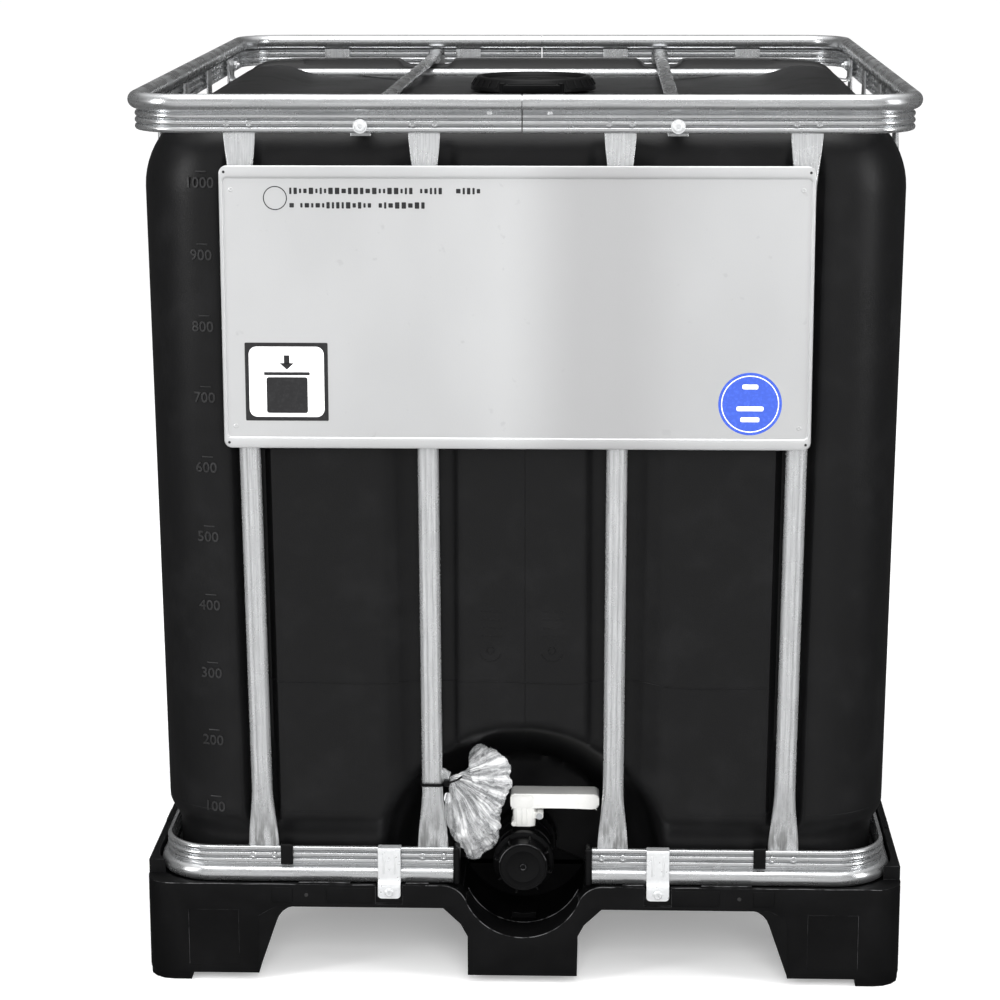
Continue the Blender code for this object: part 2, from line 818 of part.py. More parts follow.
def top_channels(wall):
    """Cutters for the recess round the lid and for the tubes that cross the bottle's top."""
    high = BOTTLE_TOP + 0.05
    left_front, left_back = TOP_BARS["left"]
    right = TOP_BARS["right"][0]
    recess = box(
        (left_front - 0.030 - wall, -0.70, TOP_RECESS_Z - wall),
        (right + 0.028 + wall, CROSS_Y - 0.02, high),
    )
    left_lane = box(
        (left_back - 0.045 - wall, CROSS_Y - 0.05, TOP_RECESS_Z - wall),
        (left_back + 0.026 + wall, 0.70, high + 0.01),
    )
    right_lane = box(
        (right - 0.028 - wall, CROSS_Y - 0.05, TOP_RECESS_Z - wall),
        (right + 0.026 + wall, 0.70, high + 0.02),
    )
    lane = box(
        (-0.60, CROSS_Y - 0.026 - wall, CROSS_CHANNEL_Z - wall),
        (0.60, CROSS_Y + 0.026 + wall, high + 0.03),
    )
    return recess, left_lane, right_lane, lane


def alcove(wall):
    """The cone-shaped recess round the outlet, deeper than the front face."""
    slope = (ALCOVE_FRONT_RADIUS - ALCOVE_BACK_RADIUS) / (0.575 - ALCOVE_BACK)
    reach = 0.16
    start = (0.0, -ALCOVE_BACK + wall, ALCOVE_Z)
    end = (0.0, -ALCOVE_BACK - reach - 0.02, ALCOVE_Z)
    back_radius = ALCOVE_BACK_RADIUS + wall - slope * wall
    front_radius = ALCOVE_BACK_RADIUS + wall + slope * (reach + 0.02)
    return cylinder(start, end, back_radius, 32, end_radius=front_radius)


def build_bottle():
    bottle = add_part("bottle", bottle_body(0.0), "black polyethylene")
    for cutter in (*top_channels(0.0), alcove(0.0)):
        boolean(bottle, cutter)
    neck = cylinder((0, 0, TOP_RECESS_Z - 0.005), (0, 0, NECK_TOP), NECK_RADIUS, 32)
    boolean(bottle, neck, "UNION")
    spout = cylinder(
        (0, -ALCOVE_BACK + 0.002, VALVE_Z), (0, -SPOUT_END, VALVE_Z), SPOUT_RADIUS, 24
    )
    boolean(bottle, spout, "UNION")
    inside = add_guide("bottle_inside", bottle_body(WALL))
    for cutter in (*top_channels(WALL), alcove(WALL)):
        boolean(inside, cutter)
    combine(bottle, inside, "DIFFERENCE")
    boolean(bottle, cylinder((0, 0, TOP_RECESS_Z - 0.02), (0, 0, NECK_TOP + 0.01), NECK_BORE, 32))
    bore = cylinder(
        (0, -ALCOVE_BACK + 0.02, VALVE_Z), (0, -SPOUT_END - 0.01, VALVE_Z), SPOUT_BORE, 24
    )
    boolean(bottle, bore)


def build_lid():
    """The screw cap, dished on top, with a grip block at the front, and its gasket."""
    profile = [
        (0.0, LID_Z - 0.006),
        (LID_RADIUS - 0.009, LID_Z - 0.006),
        (LID_RADIUS - 0.006, LID_Z),
        (LID_RADIUS, LID_Z - 0.001),
        (LID_SKIRT, LID_BOTTOM + 0.004),
        (LID_SKIRT, LID_BOTTOM),
        (NECK_RADIUS + 0.001, LID_BOTTOM),
        (NECK_RADIUS + 0.001, NECK_TOP + 0.0028),
        (0.0, NECK_TOP + 0.0028),
    ]
    lid = turned("lid", profile, "black moulding", steps=32, closed=False)
    low = (-GRIP_HALF, -GRIP_REACH, LID_BOTTOM + 0.001)
    high = (GRIP_HALF, -0.078, LID_Z - 0.006)
    block = box(low, high, 0.0015, 1)
    boolean(lid, block, "UNION")
    for sign in (-1, 1):
        low = (sign * GRIP_HALF, GRIP_POST_Y, LID_BOTTOM + 0.0005)
        high = (sign * GRIP_HALF, GRIP_POST_Y, LID_Z - 0.004)
        boolean(lid, cylinder(low, high, 0.0045, 12), "UNION")
    gasket = [
        (NECK_RADIUS - 0.0005, NECK_TOP + 0.0025),
        (NECK_RADIUS - 0.0005, NECK_TOP + GAP),
        (NECK_BORE + 0.0010, NECK_TOP + GAP),
        (NECK_BORE + 0.0010, NECK_TOP + 0.0025),
    ]
    turned("lid_gasket", gasket, "black rubber", steps=24)


# ---------------------------------------------------------------- outlet valve


def build_valve():
    nut = [
        (0.0430, VALVE_BACK + 0.0090),
        (0.0430, SPOUT_END - 0.0155),
        (SPOUT_RADIUS + 0.0006, SPOUT_END - 0.0155),
        (SPOUT_RADIUS + 0.0006, SPOUT_END + 0.0005),
        (0.0365, SPOUT_END + 0.0005),
        (0.0365, VALVE_BACK + 0.0045),
        (0.0332, VALVE_BACK + 0.0045),
        (0.0332, VALVE_BACK + 0.0090),
    ]
    union_nut = turned("valve_union_nut", nut, "black moulding", steps=24, forward=True)
    union_nut.modifiers["Turn"].use_smooth_shade = False
    seal = [
        (SPOUT_RADIUS - 0.0006, VALVE_BACK - GAP),
        (SPOUT_RADIUS - 0.0006, SPOUT_END + GAP),
        (SPOUT_BORE + 0.0006, SPOUT_END + GAP),
        (SPOUT_BORE + 0.0006, VALVE_BACK - GAP),
    ]
    turned("valve_flange_seal", seal, "black rubber", steps=24, forward=True)
    build_valve_body()
    build_ball()
    build_lever()
    build_cap()


def build_valve_body():
    """The barrel that holds the ball, with its inlet flange, threaded spigot and stem boss."""
    edge = math.degrees(math.asin(VALVE_BORE / CHAMBER))
    chamber = arc((0.0, STEM_FORWARD), CHAMBER, -90 + edge, 90 - edge, 6)
    profile = [
        (VALVE_BORE, SPIGOT_END),
        (SPIGOT_RADIUS, SPIGOT_END),
        (SPIGOT_RADIUS, BARREL_FRONT),
        (BARREL_RADIUS - 0.004, BARREL_FRONT),
        (BARREL_RADIUS, BARREL_FRONT - 0.006),
        (BARREL_RADIUS, BARREL_BACK + 0.004),
        (BARREL_RADIUS - 0.004, BARREL_BACK),
        (0.0325, BARREL_BACK),
        (0.0325, VALVE_BACK + 0.0040),
        (0.0360, VALVE_BACK + 0.0040),
        (0.0360, VALVE_BACK),
        (VALVE_BORE, VALVE_BACK),
        *chamber,
    ]
    body = turned("valve_body", profile, "black moulding", steps=28, forward=True)
    low = VALVE_Z + CHAMBER + 0.003
    boss = cylinder((0, 0, low), (0, 0, BOSS_TOP), 0.0165, 20)
    boss.transform(Matrix.Translation((0, -STEM_FORWARD, 0)))
    boolean(body, boss, "UNION")
    hole = cylinder((0, -STEM_FORWARD, VALVE_Z), (0, -STEM_FORWARD, 0.20), STEM_RADIUS + 0.0005, 20)
    boolean(body, hole)
    groove = cylinder(
        (0, -STEM_FORWARD, BOSS_TOP - 0.003), (0, -STEM_FORWARD, 0.20), STEM_RADIUS + 0.0030, 20
    )
    boolean(body, groove)
    ring = [
        (STEM_RADIUS + 0.0027, BOSS_TOP - GAP),
        (STEM_RADIUS + 0.0027, BOSS_TOP - 0.003 + GAP),
        (STEM_RADIUS + GAP, BOSS_TOP - 0.003 + GAP),
        (STEM_RADIUS + GAP, BOSS_TOP - GAP),
    ]
    stem_seal = turned("valve_stem_seal", ring, "black rubber", steps=20)
    stem_seal.location = (0.0, -STEM_FORWARD, 0.0)


def build_ball():
    """The ball and its stem, closed: the ball's bore lies along X, like the lever."""
    centre = (0.0, -STEM_FORWARD, VALVE_Z)
    ball = add_part("valve_ball", sphere((0, 0, 0), BALL, 20), "white moulding")
    ball.location = centre
    stem = cylinder((0, -STEM_FORWARD, VALVE_Z + 0.015), (0, -STEM_FORWARD, 0.2045), STEM_RADIUS, 16)
    boolean(ball, stem, "UNION")
    bore = cylinder((-0.05, -STEM_FORWARD, VALVE_Z), (0.05, -STEM_FORWARD, VALVE_Z), 0.0200, 20)
    boolean(ball, bore)


def build_lever():
    """The white lever: a flat grip on a hub, with a lug for the lock pin."""
    depth = LEVER_HALF_DEPTH
    grip = box(
        (-LEVER_TAIL, -depth, LEVER_LOW - VALVE_Z), (LEVER_TIP, depth, LEVER_HIGH - VALVE_Z), 0.005
    )
    lever = add_part("valve_lever", grip, "white moulding")
    lever.location = (0.0, -STEM_FORWARD, VALVE_Z)
    front = -STEM_FORWARD
    low = (-0.015, front - 0.015, BOSS_TOP + 0.0008)
    high = (0.015, front + 0.015, LEVER_LOW + 0.004)
    boolean(lever, box(low, high, 0.002, 1), "UNION")
    lobe = cylinder((-0.0135, front - 0.016, 0.1905), (-0.0135, front + 0.010, 0.1905), 0.0035, 12)
    boolean(lever, lobe, "UNION")
    bridge = box(
        (0.010, front - 0.0140, PIN_Z - 0.0045), (PIN_X, front + 0.010, PIN_Z + 0.0045)
    )
    boolean(lever, bridge, "UNION")
    lug = cylinder((PIN_X, front - 0.0175, PIN_Z), (PIN_X, front + 0.0105, PIN_Z), 0.0052, 16)
    boolean(lever, lug, "UNION")
    bore = cylinder((PIN_X, front - 0.03, PIN_Z), (PIN_X, front + 0.03, PIN_Z), 0.0032, 16)
    boolean(lever, bore)
    socket = cylinder((0, front, 0.18), (0, front, 0.2050), STEM_RADIUS + 0.0005, 16)
    boolean(lever, socket)
    pin = cylinder((0, 0, 0.0085), (0, 0, -0.0165), 0.0028, 12)
    lock = add_part("lever_lock_pin", pin, "grey pin")
    lock.location = (PIN_X, front, PIN_Z)
    lock.rotation_euler = (-math.pi / 2, 0.0, 0.0)
    head = cylinder((PIN_X, front - 0.0178, PIN_Z), (PIN_X, front - 0.0200, PIN_Z), 0.0040, 16)
    boolean(lock, head, "UNION")
    neck = cylinder((PIN_X, front - 0.0150, PIN_Z), (PIN_X, front - 0.0190, PIN_Z), 0.0027, 12)
    boolean(lock, neck, "UNION")


def build_cap():
    """The dust cap: a flat face, a skirt with eight grip ribs and a rear flange."""
    inner = SPIGOT_RADIUS + 0.0006
    back = BARREL_FRONT + 0.002
    profile = [
        (0.0, CAP_FRONT),
        (CAP_RADIUS - 0.0015, CAP_FRONT),
        (CAP_RADIUS, CAP_FRONT - 0.0015),
        (CAP_RADIUS + 0.0015, back + 0.003),
        (CAP_FLANGE, back + 0.003),
        (CAP_FLANGE, back),
        (inner, back),
        (inner, CAP_FRONT - 0.0030),
        (0.0, CAP_FRONT - 0.0030),
    ]
    cap = turned("outlet_cap", profile, "black moulding", steps=32, forward=True, closed=False)
    ribs = []
    for number in range(RIBS):
        low = (CAP_RADIUS - 0.0015, -0.0013, back + 0.001)
        high = (CAP_RADIUS + 0.0050, 0.0013, CAP_FRONT - 0.004)
        rib = box(low, high)
        rib.transform(Matrix.Rotation(math.radians(RIB_START + 360 / RIBS * number), 4, "Z"))
        ribs.append(rib)
    guide = boolean(cap, joined(*ribs), "UNION")
    guide.matrix_world = Matrix.Translation((0, 0, VALVE_Z)) @ Matrix.Rotation(math.pi / 2, 4, "X")
    seal = [
        (SPIGOT_RADIUS - 0.0005, CAP_FRONT - 0.0030 - GAP),
        (SPIGOT_RADIUS - 0.0005, SPIGOT_END + GAP),
        (VALVE_BORE + 0.0010, SPIGOT_END + GAP),
        (VALVE_BORE + 0.0010, CAP_FRONT - 0.0030 - GAP),
    ]
    turned("outlet_cap_seal", seal, "black rubber", steps=24, forward=True)


# ---------------------------------------------------------------- fittings


def build_plate():
    """The label plate: a sheet with a folded rim, deeper along the top."""
    back = -PLATE_BACK
    front = back - PLATE_SHEET
    sheet = box((PLATE_LEFT, front, PLATE_LOW), (PLATE_RIGHT, back, PLATE_HIGH))
    plate = add_part("label_plate", sheet, "bright sheet", smooth=False)
    low = (PLATE_LEFT, front - PLATE_RIM, PLATE_LOW)
    high = (PLATE_RIGHT, back - PLATE_SHEET / 2, PLATE_HIGH)
    boolean(plate, box(low, high, 0.0012, 1), "UNION")
    window = box(
        (PLATE_LEFT + HEM_SIDE, front - 0.02, PLATE_LOW + HEM_SIDE),
        (PLATE_RIGHT - HEM_SIDE, front, PLATE_HIGH - HEM_TOP),
    )
    boolean(plate, window)


def build_clamps(pallet):
    """Straps that hold the lower ring on the pallet, each with one screw."""
    hook = LOW_HALF_Y - 0.0163
    outer = LOW_HALF_Y + GAP + SHEET / 2
    foot = PALLET_Y - 0.0045 + GAP + SHEET / 2
    top = LOW_RING_Z + WEB_DEPTH + 0.0003 + SHEET / 2
    path = (
        (hook, top - 0.012),
        (hook, top),
        (outer, top),
        (outer, 0.1385),
        (foot, 0.1315),
        (foot, 0.1146),
    )
    for name, (x, side) in CLAMPS.items():
        clamp = folded_strip(
            f"cage_clamp_{name}", path, 2 * CLAMP_HALF, x, side, "galvanised steel", SHEET
        )
        face = foot + SHEET / 2
        low, high = sorted((side * (PALLET_Y - 0.0045), side * (PALLET_Y + 0.01)))
        pocket = box((x - 0.018, low, DECK_Z), (x + 0.018, high, 0.20))
        boolean(pallet, pocket)
        low, high = sorted((side * (PALLET_Y - LIP - 0.004), side * (PALLET_Y + 0.01)))
        notch = box((x - 0.018, low, LEDGE_Z - 0.0012), (x + 0.018, high, 0.21))
        boolean(pallet, notch)
        tip = (x, side * (face - 0.018), CLAMP_SCREW_Z)
        outside = (x, side * (face + 0.01), CLAMP_SCREW_Z)
        boolean(pallet, cylinder(tip, outside, 0.0031, 12))
        boolean(clamp, cylinder(tip, outside, 0.0031, 12))
        seat = (x, side * (face + GAP), CLAMP_SCREW_Z)
        crown = (x, side * (face + 0.0036), CLAMP_SCREW_Z)
        screw = add_part(
            f"clamp_screw_{name}", cylinder(seat, crown, 0.0062, 6), "galvanised steel"
        )
        start = (x, side * (face + 0.001), CLAMP_SCREW_Z)
        end = (x, side * (face - 0.016), CLAMP_SCREW_Z)
        boolean(screw, cylinder(start, end, 0.0026, 10), "UNION")


def build_clips():
    """Plastic clips pushed over the lower ring's web."""
    inside, outside = LOW_HALF_Y - 0.0160, LOW_HALF_Y - 0.0065
    top = LOW_RING_Z + WEB_DEPTH + 0.0025
    path = ((inside, 0.1600), (inside, top), (outside, top), (outside, 0.1560))
    for name, sign in (("left", -1), ("right", 1)):
        folded_strip(
            f"ring_clip_{name}", path, CLIP_WIDTH, sign * CLIP_X, -1, "black moulding", 0.003
        )


def bag_section(height, left, right, depth):
    """A lens-shaped slice of the bag."""
    centre = Vector(((left + right) / 2, BAG_Y, height))
    half = (right - left) / 2
    section = []
    for step in range(12):
        angle = 2 * math.pi * step / 12
        section.append(
            centre + Vector((half * math.cos(angle), depth * math.sin(angle), 0.0))
        )
    return section


def build_bag():
    """The tied bag of accessories, as a plain closed form, and the tie that holds it."""
    slices = (
        (0.142, -0.078, -0.052, 0.004),
        (0.150, -0.092, -0.047, 0.010),
        (0.186, -0.099, -0.046, 0.0115),
        (0.200, -0.1015, -0.026, 0.0115),
        (0.235, -0.1020, -0.023, 0.0115),
        (0.242, -0.1020, -0.008, 0.0115),
        (0.268, -0.1010, -0.007, 0.0110),
        (0.285, -0.0940, -0.016, 0.0100),
        (0.303, -0.0640, -0.034, 0.0050),
    )
    sections = [bag_section(*slice_) for slice_ in slices]
    add_part("accessory_bag", loft(sections), "clear film")
    share = (TIE_Z - BAR_LOW) / (BAR_HIGH - BAR_LOW)
    taper = BAR_TAPER + (1 - BAR_TAPER) * share
    bar_x = FRONT_BARS[1] * taper
    bar_y = -(LOW_HALF_Y - BAR_INSET + LOW_INSET * share)
    outer = rounded_rectangle(0.0158, 0.0113, 0.0060, 3)
    inner = rounded_rectangle(0.0142, 0.0097, 0.0050, 3)
    band = slab([(bar_x + x, bar_y + y) for x, y in outer], TIE_Z - 0.002, TIE_Z + 0.002)
    tie = add_part("cable_tie", band, "black moulding")
    hole = slab([(bar_x + x, bar_y + y) for x, y in inner], TIE_Z - 0.01, TIE_Z + 0.01)
    boolean(tie, hole)
    edge = bar_x + 0.0150
    head = box((edge, bar_y - 0.0085, TIE_Z - 0.0025), (edge + 0.0065, bar_y + 0.0005, TIE_Z + 0.0045))
    boolean(tie, head, "UNION")
    start = (edge + 0.004, bar_y - 0.0035, TIE_Z + 0.001)
    end = (edge + 0.024, bar_y - 0.0015, TIE_Z + 0.013)
    boolean(tie, cylinder(start, end, 0.0018, 8), "UNION")


def main():
    rings = build_rings()
    build_bars()
    build_top_bars(rings)
    pallet = build_pallet()
    build_bottle()
    build_lid()
    build_valve()
    build_plate()
    build_clamps(pallet)
    build_clips()
    build_bag()


clear_scene()
PARTS = new_collection("intermediate_bulk_container")
CUTTERS = new_collection("cutters")
main()
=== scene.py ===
"""Intermediate bulk container: the finished surfaces of every piece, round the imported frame.

Metres, +Z up. The outlet valve and the label plate face -Y.
"""

import math
import random

import bmesh
import bpy
from bpy.props import FloatProperty, FloatVectorProperty, IntProperty, PointerProperty
from mathutils import Matrix, Vector, noise


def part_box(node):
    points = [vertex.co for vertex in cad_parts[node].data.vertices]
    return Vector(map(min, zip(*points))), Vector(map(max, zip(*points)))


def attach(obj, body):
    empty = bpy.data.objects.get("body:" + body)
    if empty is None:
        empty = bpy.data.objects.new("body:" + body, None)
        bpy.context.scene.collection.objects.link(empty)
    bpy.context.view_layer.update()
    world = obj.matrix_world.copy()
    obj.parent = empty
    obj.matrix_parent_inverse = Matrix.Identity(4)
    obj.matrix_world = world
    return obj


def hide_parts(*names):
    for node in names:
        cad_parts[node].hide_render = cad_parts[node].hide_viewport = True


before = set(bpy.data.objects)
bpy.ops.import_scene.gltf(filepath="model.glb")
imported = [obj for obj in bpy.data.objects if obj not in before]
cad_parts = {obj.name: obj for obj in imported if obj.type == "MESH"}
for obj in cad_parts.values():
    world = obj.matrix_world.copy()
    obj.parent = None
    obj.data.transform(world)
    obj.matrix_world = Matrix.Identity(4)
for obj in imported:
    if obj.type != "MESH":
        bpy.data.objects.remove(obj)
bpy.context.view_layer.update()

bl_info = {
    "name": "Intermediate bulk container",
    "version": (1, 0, 0),
    "blender": (4, 5, 0),
    "location": "View3D > Sidebar > Container",
    "description": "Builds a bulk container: bottle, tube cage, pallet, outlet valve and fittings",
    "category": "Object",
}

ROOT = "container"
SIDES = {"left": -1, "right": 1}
ENDS = {"front": -1, "back": 1}


def extent(*nodes):
    """Lowest and highest corners over several CAD nodes."""
    boxes = [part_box(node) for node in nodes]
    low = Vector([min(box[0][axis] for box in boxes) for axis in range(3)])
    high = Vector([max(box[1][axis] for box in boxes) for axis in range(3)])
    return low, high


def middle(node):
    low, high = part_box(node)
    return (low + high) / 2


TOP_LOW, TOP_HIGH = extent("top_ring_left", "top_ring_right")
LOWER_LOW, LOWER_HIGH = extent("bottom_ring")
BOTTLE_LOW, BOTTLE_HIGH = extent("bottle")
PALLET_HIGH = extent("pallet")[1]
PLATE_LOW, PLATE_HIGH = extent("label_plate")
LID_LOW, LID_HIGH = extent("lid")
BAR_LOW, BAR_HIGH = extent("front_bar_1")
VALVE_Z = middle("outlet_cap").z
STEM_Y = middle("valve_lever").y


# ---------------------------------------------------------------- sizes and colours


class CageSettings(bpy.types.PropertyGroup):
    bead: FloatProperty(
        name="Bead radius", description="Radius of the rings' rolled bead",
        default=0.011, unit="LENGTH",
    )
    sheet: FloatProperty(
        name="Sheet", description="Thickness of the rings' steel", default=0.0015, unit="LENGTH"
    )
    corner: FloatProperty(
        name="Corner radius", description="Radius of the rings' corners in plan",
        default=0.078, unit="LENGTH",
    )
    groove: FloatProperty(
        name="Bar groove", description="Depth of the grooves rolled into each bar",
        default=0.0011, unit="LENGTH",
    )
    bar_width: FloatProperty(
        name="Bar width", description="Width of a bar's oval tube", default=0.027, unit="LENGTH"
    )
    bar_depth: FloatProperty(
        name="Bar depth", description="Depth of a bar's oval tube", default=0.018, unit="LENGTH"
    )
    colour: FloatVectorProperty(
        name="Zinc", description="Colour of the galvanised steel", subtype="COLOR",
        default=(0.74, 0.75, 0.76),
    )


class BottleSettings(bpy.types.PropertyGroup):
    corner: FloatProperty(
        name="Corner radius", description="Radius of the upright corners", default=0.100,
        unit="LENGTH",
    )
    shoulder: FloatProperty(
        name="Shoulder radius", description="Radius between the sides and the top",
        default=0.109, unit="LENGTH",
    )
    grain: FloatProperty(
        name="Grain", description="Size of one grain of the moulded surface", default=0.0016,
        unit="LENGTH",
    )
    colour: FloatVectorProperty(
        name="Polyethylene", description="Colour of the bottle", subtype="COLOR",
        default=(0.0050, 0.0050, 0.0053),
    )
    columns: IntProperty(
        name="Columns", description="Faces along each metre of the outline", default=170
    )


class PalletSettings(bpy.types.PropertyGroup):
    edge: FloatProperty(
        name="Edge", description="Radius of the moulded edges", default=0.0016, unit="LENGTH"
    )
    colour: FloatVectorProperty(
        name="Moulding", description="Colour of the pallet and of the black fittings",
        subtype="COLOR", default=(0.0024, 0.0024, 0.0026),
    )
    # The pale edge colour below is a painted highlight for edges that catch the light.
    wear: FloatVectorProperty(
        name="Highlight", description="Colour of rubbed edges", subtype="COLOR",
        default=(0.16, 0.16, 0.165),
    )


class ValveSettings(bpy.types.PropertyGroup):
    cap_radius: FloatProperty(
        name="Cap radius", description="Radius of the dust cap's face", default=0.033,
        unit="LENGTH",
    )
    ribs: IntProperty(name="Ribs", description="Grip ribs round the dust cap", default=8)
    colour: FloatVectorProperty(
        name="Lever", description="Colour of the lever", subtype="COLOR",
        default=(0.74, 0.74, 0.72),
    )


class PlateSettings(bpy.types.PropertyGroup):
    hem: FloatProperty(
        name="Hem", description="Width of the folded strips at the top and bottom",
        default=0.0135, unit="LENGTH",
    )
    disc: FloatVectorProperty(
        name="Disc", description="Colour of the round label", subtype="COLOR",
        default=(0.030, 0.075, 0.42),
    )
    ink: FloatVectorProperty(
        name="Ink", description="Colour of the printed marks", subtype="COLOR",
        default=(0.012, 0.012, 0.013),
    )


class BagSettings(bpy.types.PropertyGroup):
    voxel: FloatProperty(
        name="Voxel", description="Size of the bag's faces before it is crumpled",
        default=0.004, unit="LENGTH",
    )
    growth: FloatProperty(
        name="Growth", description="How much larger the film is than the space it fills",
        default=0.12,
    )


class StageSettings(bpy.types.PropertyGroup):
    floor: FloatVectorProperty(
        name="Floor", description="Colour of the floor", subtype="COLOR",
        default=(0.92, 0.92, 0.92),
    )
    lens: FloatProperty(name="Lens", description="Focal length in millimetres", default=103.86)


# ---------------------------------------------------------------- mesh helpers


def finish(name, work, surface, body=ROOT, slot=None, nodes=(), smooth=35.0):
    """Turns a bmesh into a shaded piece that rides on a body and stands for its CAD nodes."""
    bmesh.ops.recalc_face_normals(work, faces=work.faces)
    mesh = bpy.data.meshes.new(name)
    work.to_mesh(mesh)
    work.free()
    return place(name, mesh, surface, body, slot, nodes, smooth)


def place(name, mesh, surface, body=ROOT, slot=None, nodes=(), smooth=35.0):
    """Links a mesh as a piece that rides on a body."""
    piece = bpy.data.objects.new(name, mesh)
    bpy.context.scene.collection.objects.link(piece)
    if mesh.materials:
        mesh.materials.clear()
    for part in surface if isinstance(surface, tuple) else (surface,):
        mesh.materials.append(part)
    mesh.shade_smooth()
    mesh.set_sharp_from_angle(angle=math.radians(smooth))
    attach(piece, body)
    if nodes:
        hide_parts(*nodes)
    return piece


def loft(work, rows, ends=(True, True), around=True):
    """Skins rows of points of equal length, and closes the ends that are asked for."""
    levels = [[work.verts.new(point) for point in row] for row in rows]
    count = len(levels[0])
    last = count if around else count - 1
    for lower, upper in zip(levels, levels[1:]):
        for i in range(last):
            j = (i + 1) % count
            work.faces.new((lower[i], lower[j], upper[j], upper[i]))
    if ends[0]:
        work.faces.new(levels[0])
    if ends[1]:
        work.faces.new(levels[-1])
    return levels


def revolve(work, profile, place=Matrix.Identity(4), steps=96):
    """A solid of revolution about the placed Z axis, from (radius, height) points.

    The profile starts and ends on the axis, or else joins up with its first point.
    """
    on_axis = profile[0][0] == 0.0
    points = profile[1:-1] if on_axis else profile
    rows = []
    for radius, height in points:
        row = []
        for step in range(steps):
            angle = 2 * math.pi * step / steps
            row.append(
                place @ Vector((radius * math.cos(angle), radius * math.sin(angle), height))
            )
        rows.append(row)
    if on_axis:
        rings = loft(work, rows, (False, False))
        for ring, (_, height) in ((rings[0], profile[0]), (rings[-1], profile[-1])):
            hub = work.verts.new(place @ Vector((0.0, 0.0, height)))
            for i, vertex in enumerate(ring):
                work.faces.new((hub, vertex, ring[(i + 1) % steps]))
    else:
        rings = loft(work, rows, (False, False))
        for i in range(steps):
            j = (i + 1) % steps
            work.faces.new((rings[-1][i], rings[-1][j], rings[0][j], rings[0][i]))


def rounded(points, radius, steps=4):
    """An open profile with each inner corner replaced by an arc-like bend."""
    out = [points[0]]
    for before, corner, after in zip(points, points[1:], points[2:]):
        corner = Vector(corner)
        entry = (Vector(before) - corner)
        leave = (Vector(after) - corner)
        reach = min(radius, entry.length * 0.45, leave.length * 0.45)
        start = corner + entry.normalized() * reach
        end = corner + leave.normalized() * reach
        for step in range(steps + 1):
            t = step / steps
            bend = start.lerp(corner, t).lerp(corner.lerp(end, t), t)
            out.append(tuple(bend))
    out.append(points[-1])
    return out


def add_box(work, low, high, edge=0.0, segments=3):
    """A box between two corners with rounded edges, added to a bmesh."""
    low, high = Vector(low), Vector(high)
    made = bmesh.ops.create_cube(work, size=1.0)["verts"]
    bmesh.ops.scale(work, vec=high - low, verts=made)
    bmesh.ops.translate(work, vec=(low + high) / 2, verts=made)
    if edge:
        edges = list({edge_ for vertex in made for edge_ in vertex.link_edges})
        bmesh.ops.bevel(
            work, geom=edges, offset=edge, segments=segments, affect="EDGES", profile=0.5
        )


def add_prism(work, outline, low, high, turn=Matrix.Identity(4), edge=0.0, segments=2):
    """A flat outline extruded from one height to another, then turned."""
    start = len(work.verts)
    lower = [work.verts.new(turn @ Vector((a, b, low))) for a, b in outline]
    upper = [work.verts.new(turn @ Vector((a, b, high))) for a, b in outline]
    count = len(outline)
    rims = []
    for i in range(count):
        j = (i + 1) % count
        work.faces.new((lower[i], lower[j], upper[j], upper[i]))
    for ring in (lower, upper):
        face = work.faces.new(ring)
        rims += face.edges
    if edge:
        bmesh.ops.bevel(
            work, geom=rims, offset=edge, segments=segments, affect="EDGES", profile=0.5
        )
    return start


def turn_outline(outline_turn):
    """The matrix that stands an outline's (a, b) on the front: a along X, b along Z."""
    return Matrix.Translation(outline_turn) @ Matrix.Rotation(math.pi / 2, 4, "X")


def arc(centre, radius, start, end, steps):
    """Points of a circular arc, with both ends, for angles in degrees."""
    points = []
    for step in range(steps + 1):
        angle = math.radians(start + (end - start) * step / steps)
        points.append((centre[0] + radius * math.cos(angle), centre[1] + radius * math.sin(angle)))
    return points


def rounded_rectangle(low, high, radius, steps=8):
    """An anticlockwise outline between two corners."""
    outline = []
    corners = ((high[0], low[1], -90), (high[0], high[1], 0), (low[0], high[1], 90), (low[0], low[1], 180))
    for (x, y, start), (sx, sy) in zip(corners, ((-1, 1), (-1, -1), (1, -1), (1, 1))):
        outline += arc((x + sx * radius, y + sy * radius), radius, start, start + 90, steps)
    return outline


def evaluated_mesh(piece):
    """The mesh of an object with its modifiers applied."""
    bpy.context.view_layer.update()
    view = bpy.context.evaluated_depsgraph_get()
    return bpy.data.meshes.new_from_object(piece.evaluated_get(view))


def smooth_step(low, high, value):
    share = min(max((value - low) / (high - low), 0.0), 1.0)
    return share * share * (3 - 2 * share)


def soft_min(a, b, width):
    """The smaller of two heights, with a rounded change-over."""
    share = min(max(0.5 + 0.5 * (b - a) / width, 0.0), 1.0)
    return b + (a - b) * share - width * share * (1 - share)


def smooth_curve(points, steps):
    """A rounded line through points, with a number of steps between each two."""
    path = []
    count = len(points)
    for i in range(count - 1):
        a = Vector(points[max(i - 1, 0)])
        b = Vector(points[i])
        c = Vector(points[i + 1])
        d = Vector(points[min(i + 2, count - 1)])
        for step in range(steps):
            t = step / steps
            path.append(
                0.5 * ((2 * b) + (c - a) * t + (2 * a - 5 * b + 4 * c - d) * t**2
                       + (3 * b - a - 3 * c + d) * t**3)
            )
    path.append(Vector(points[-1]))
    return path


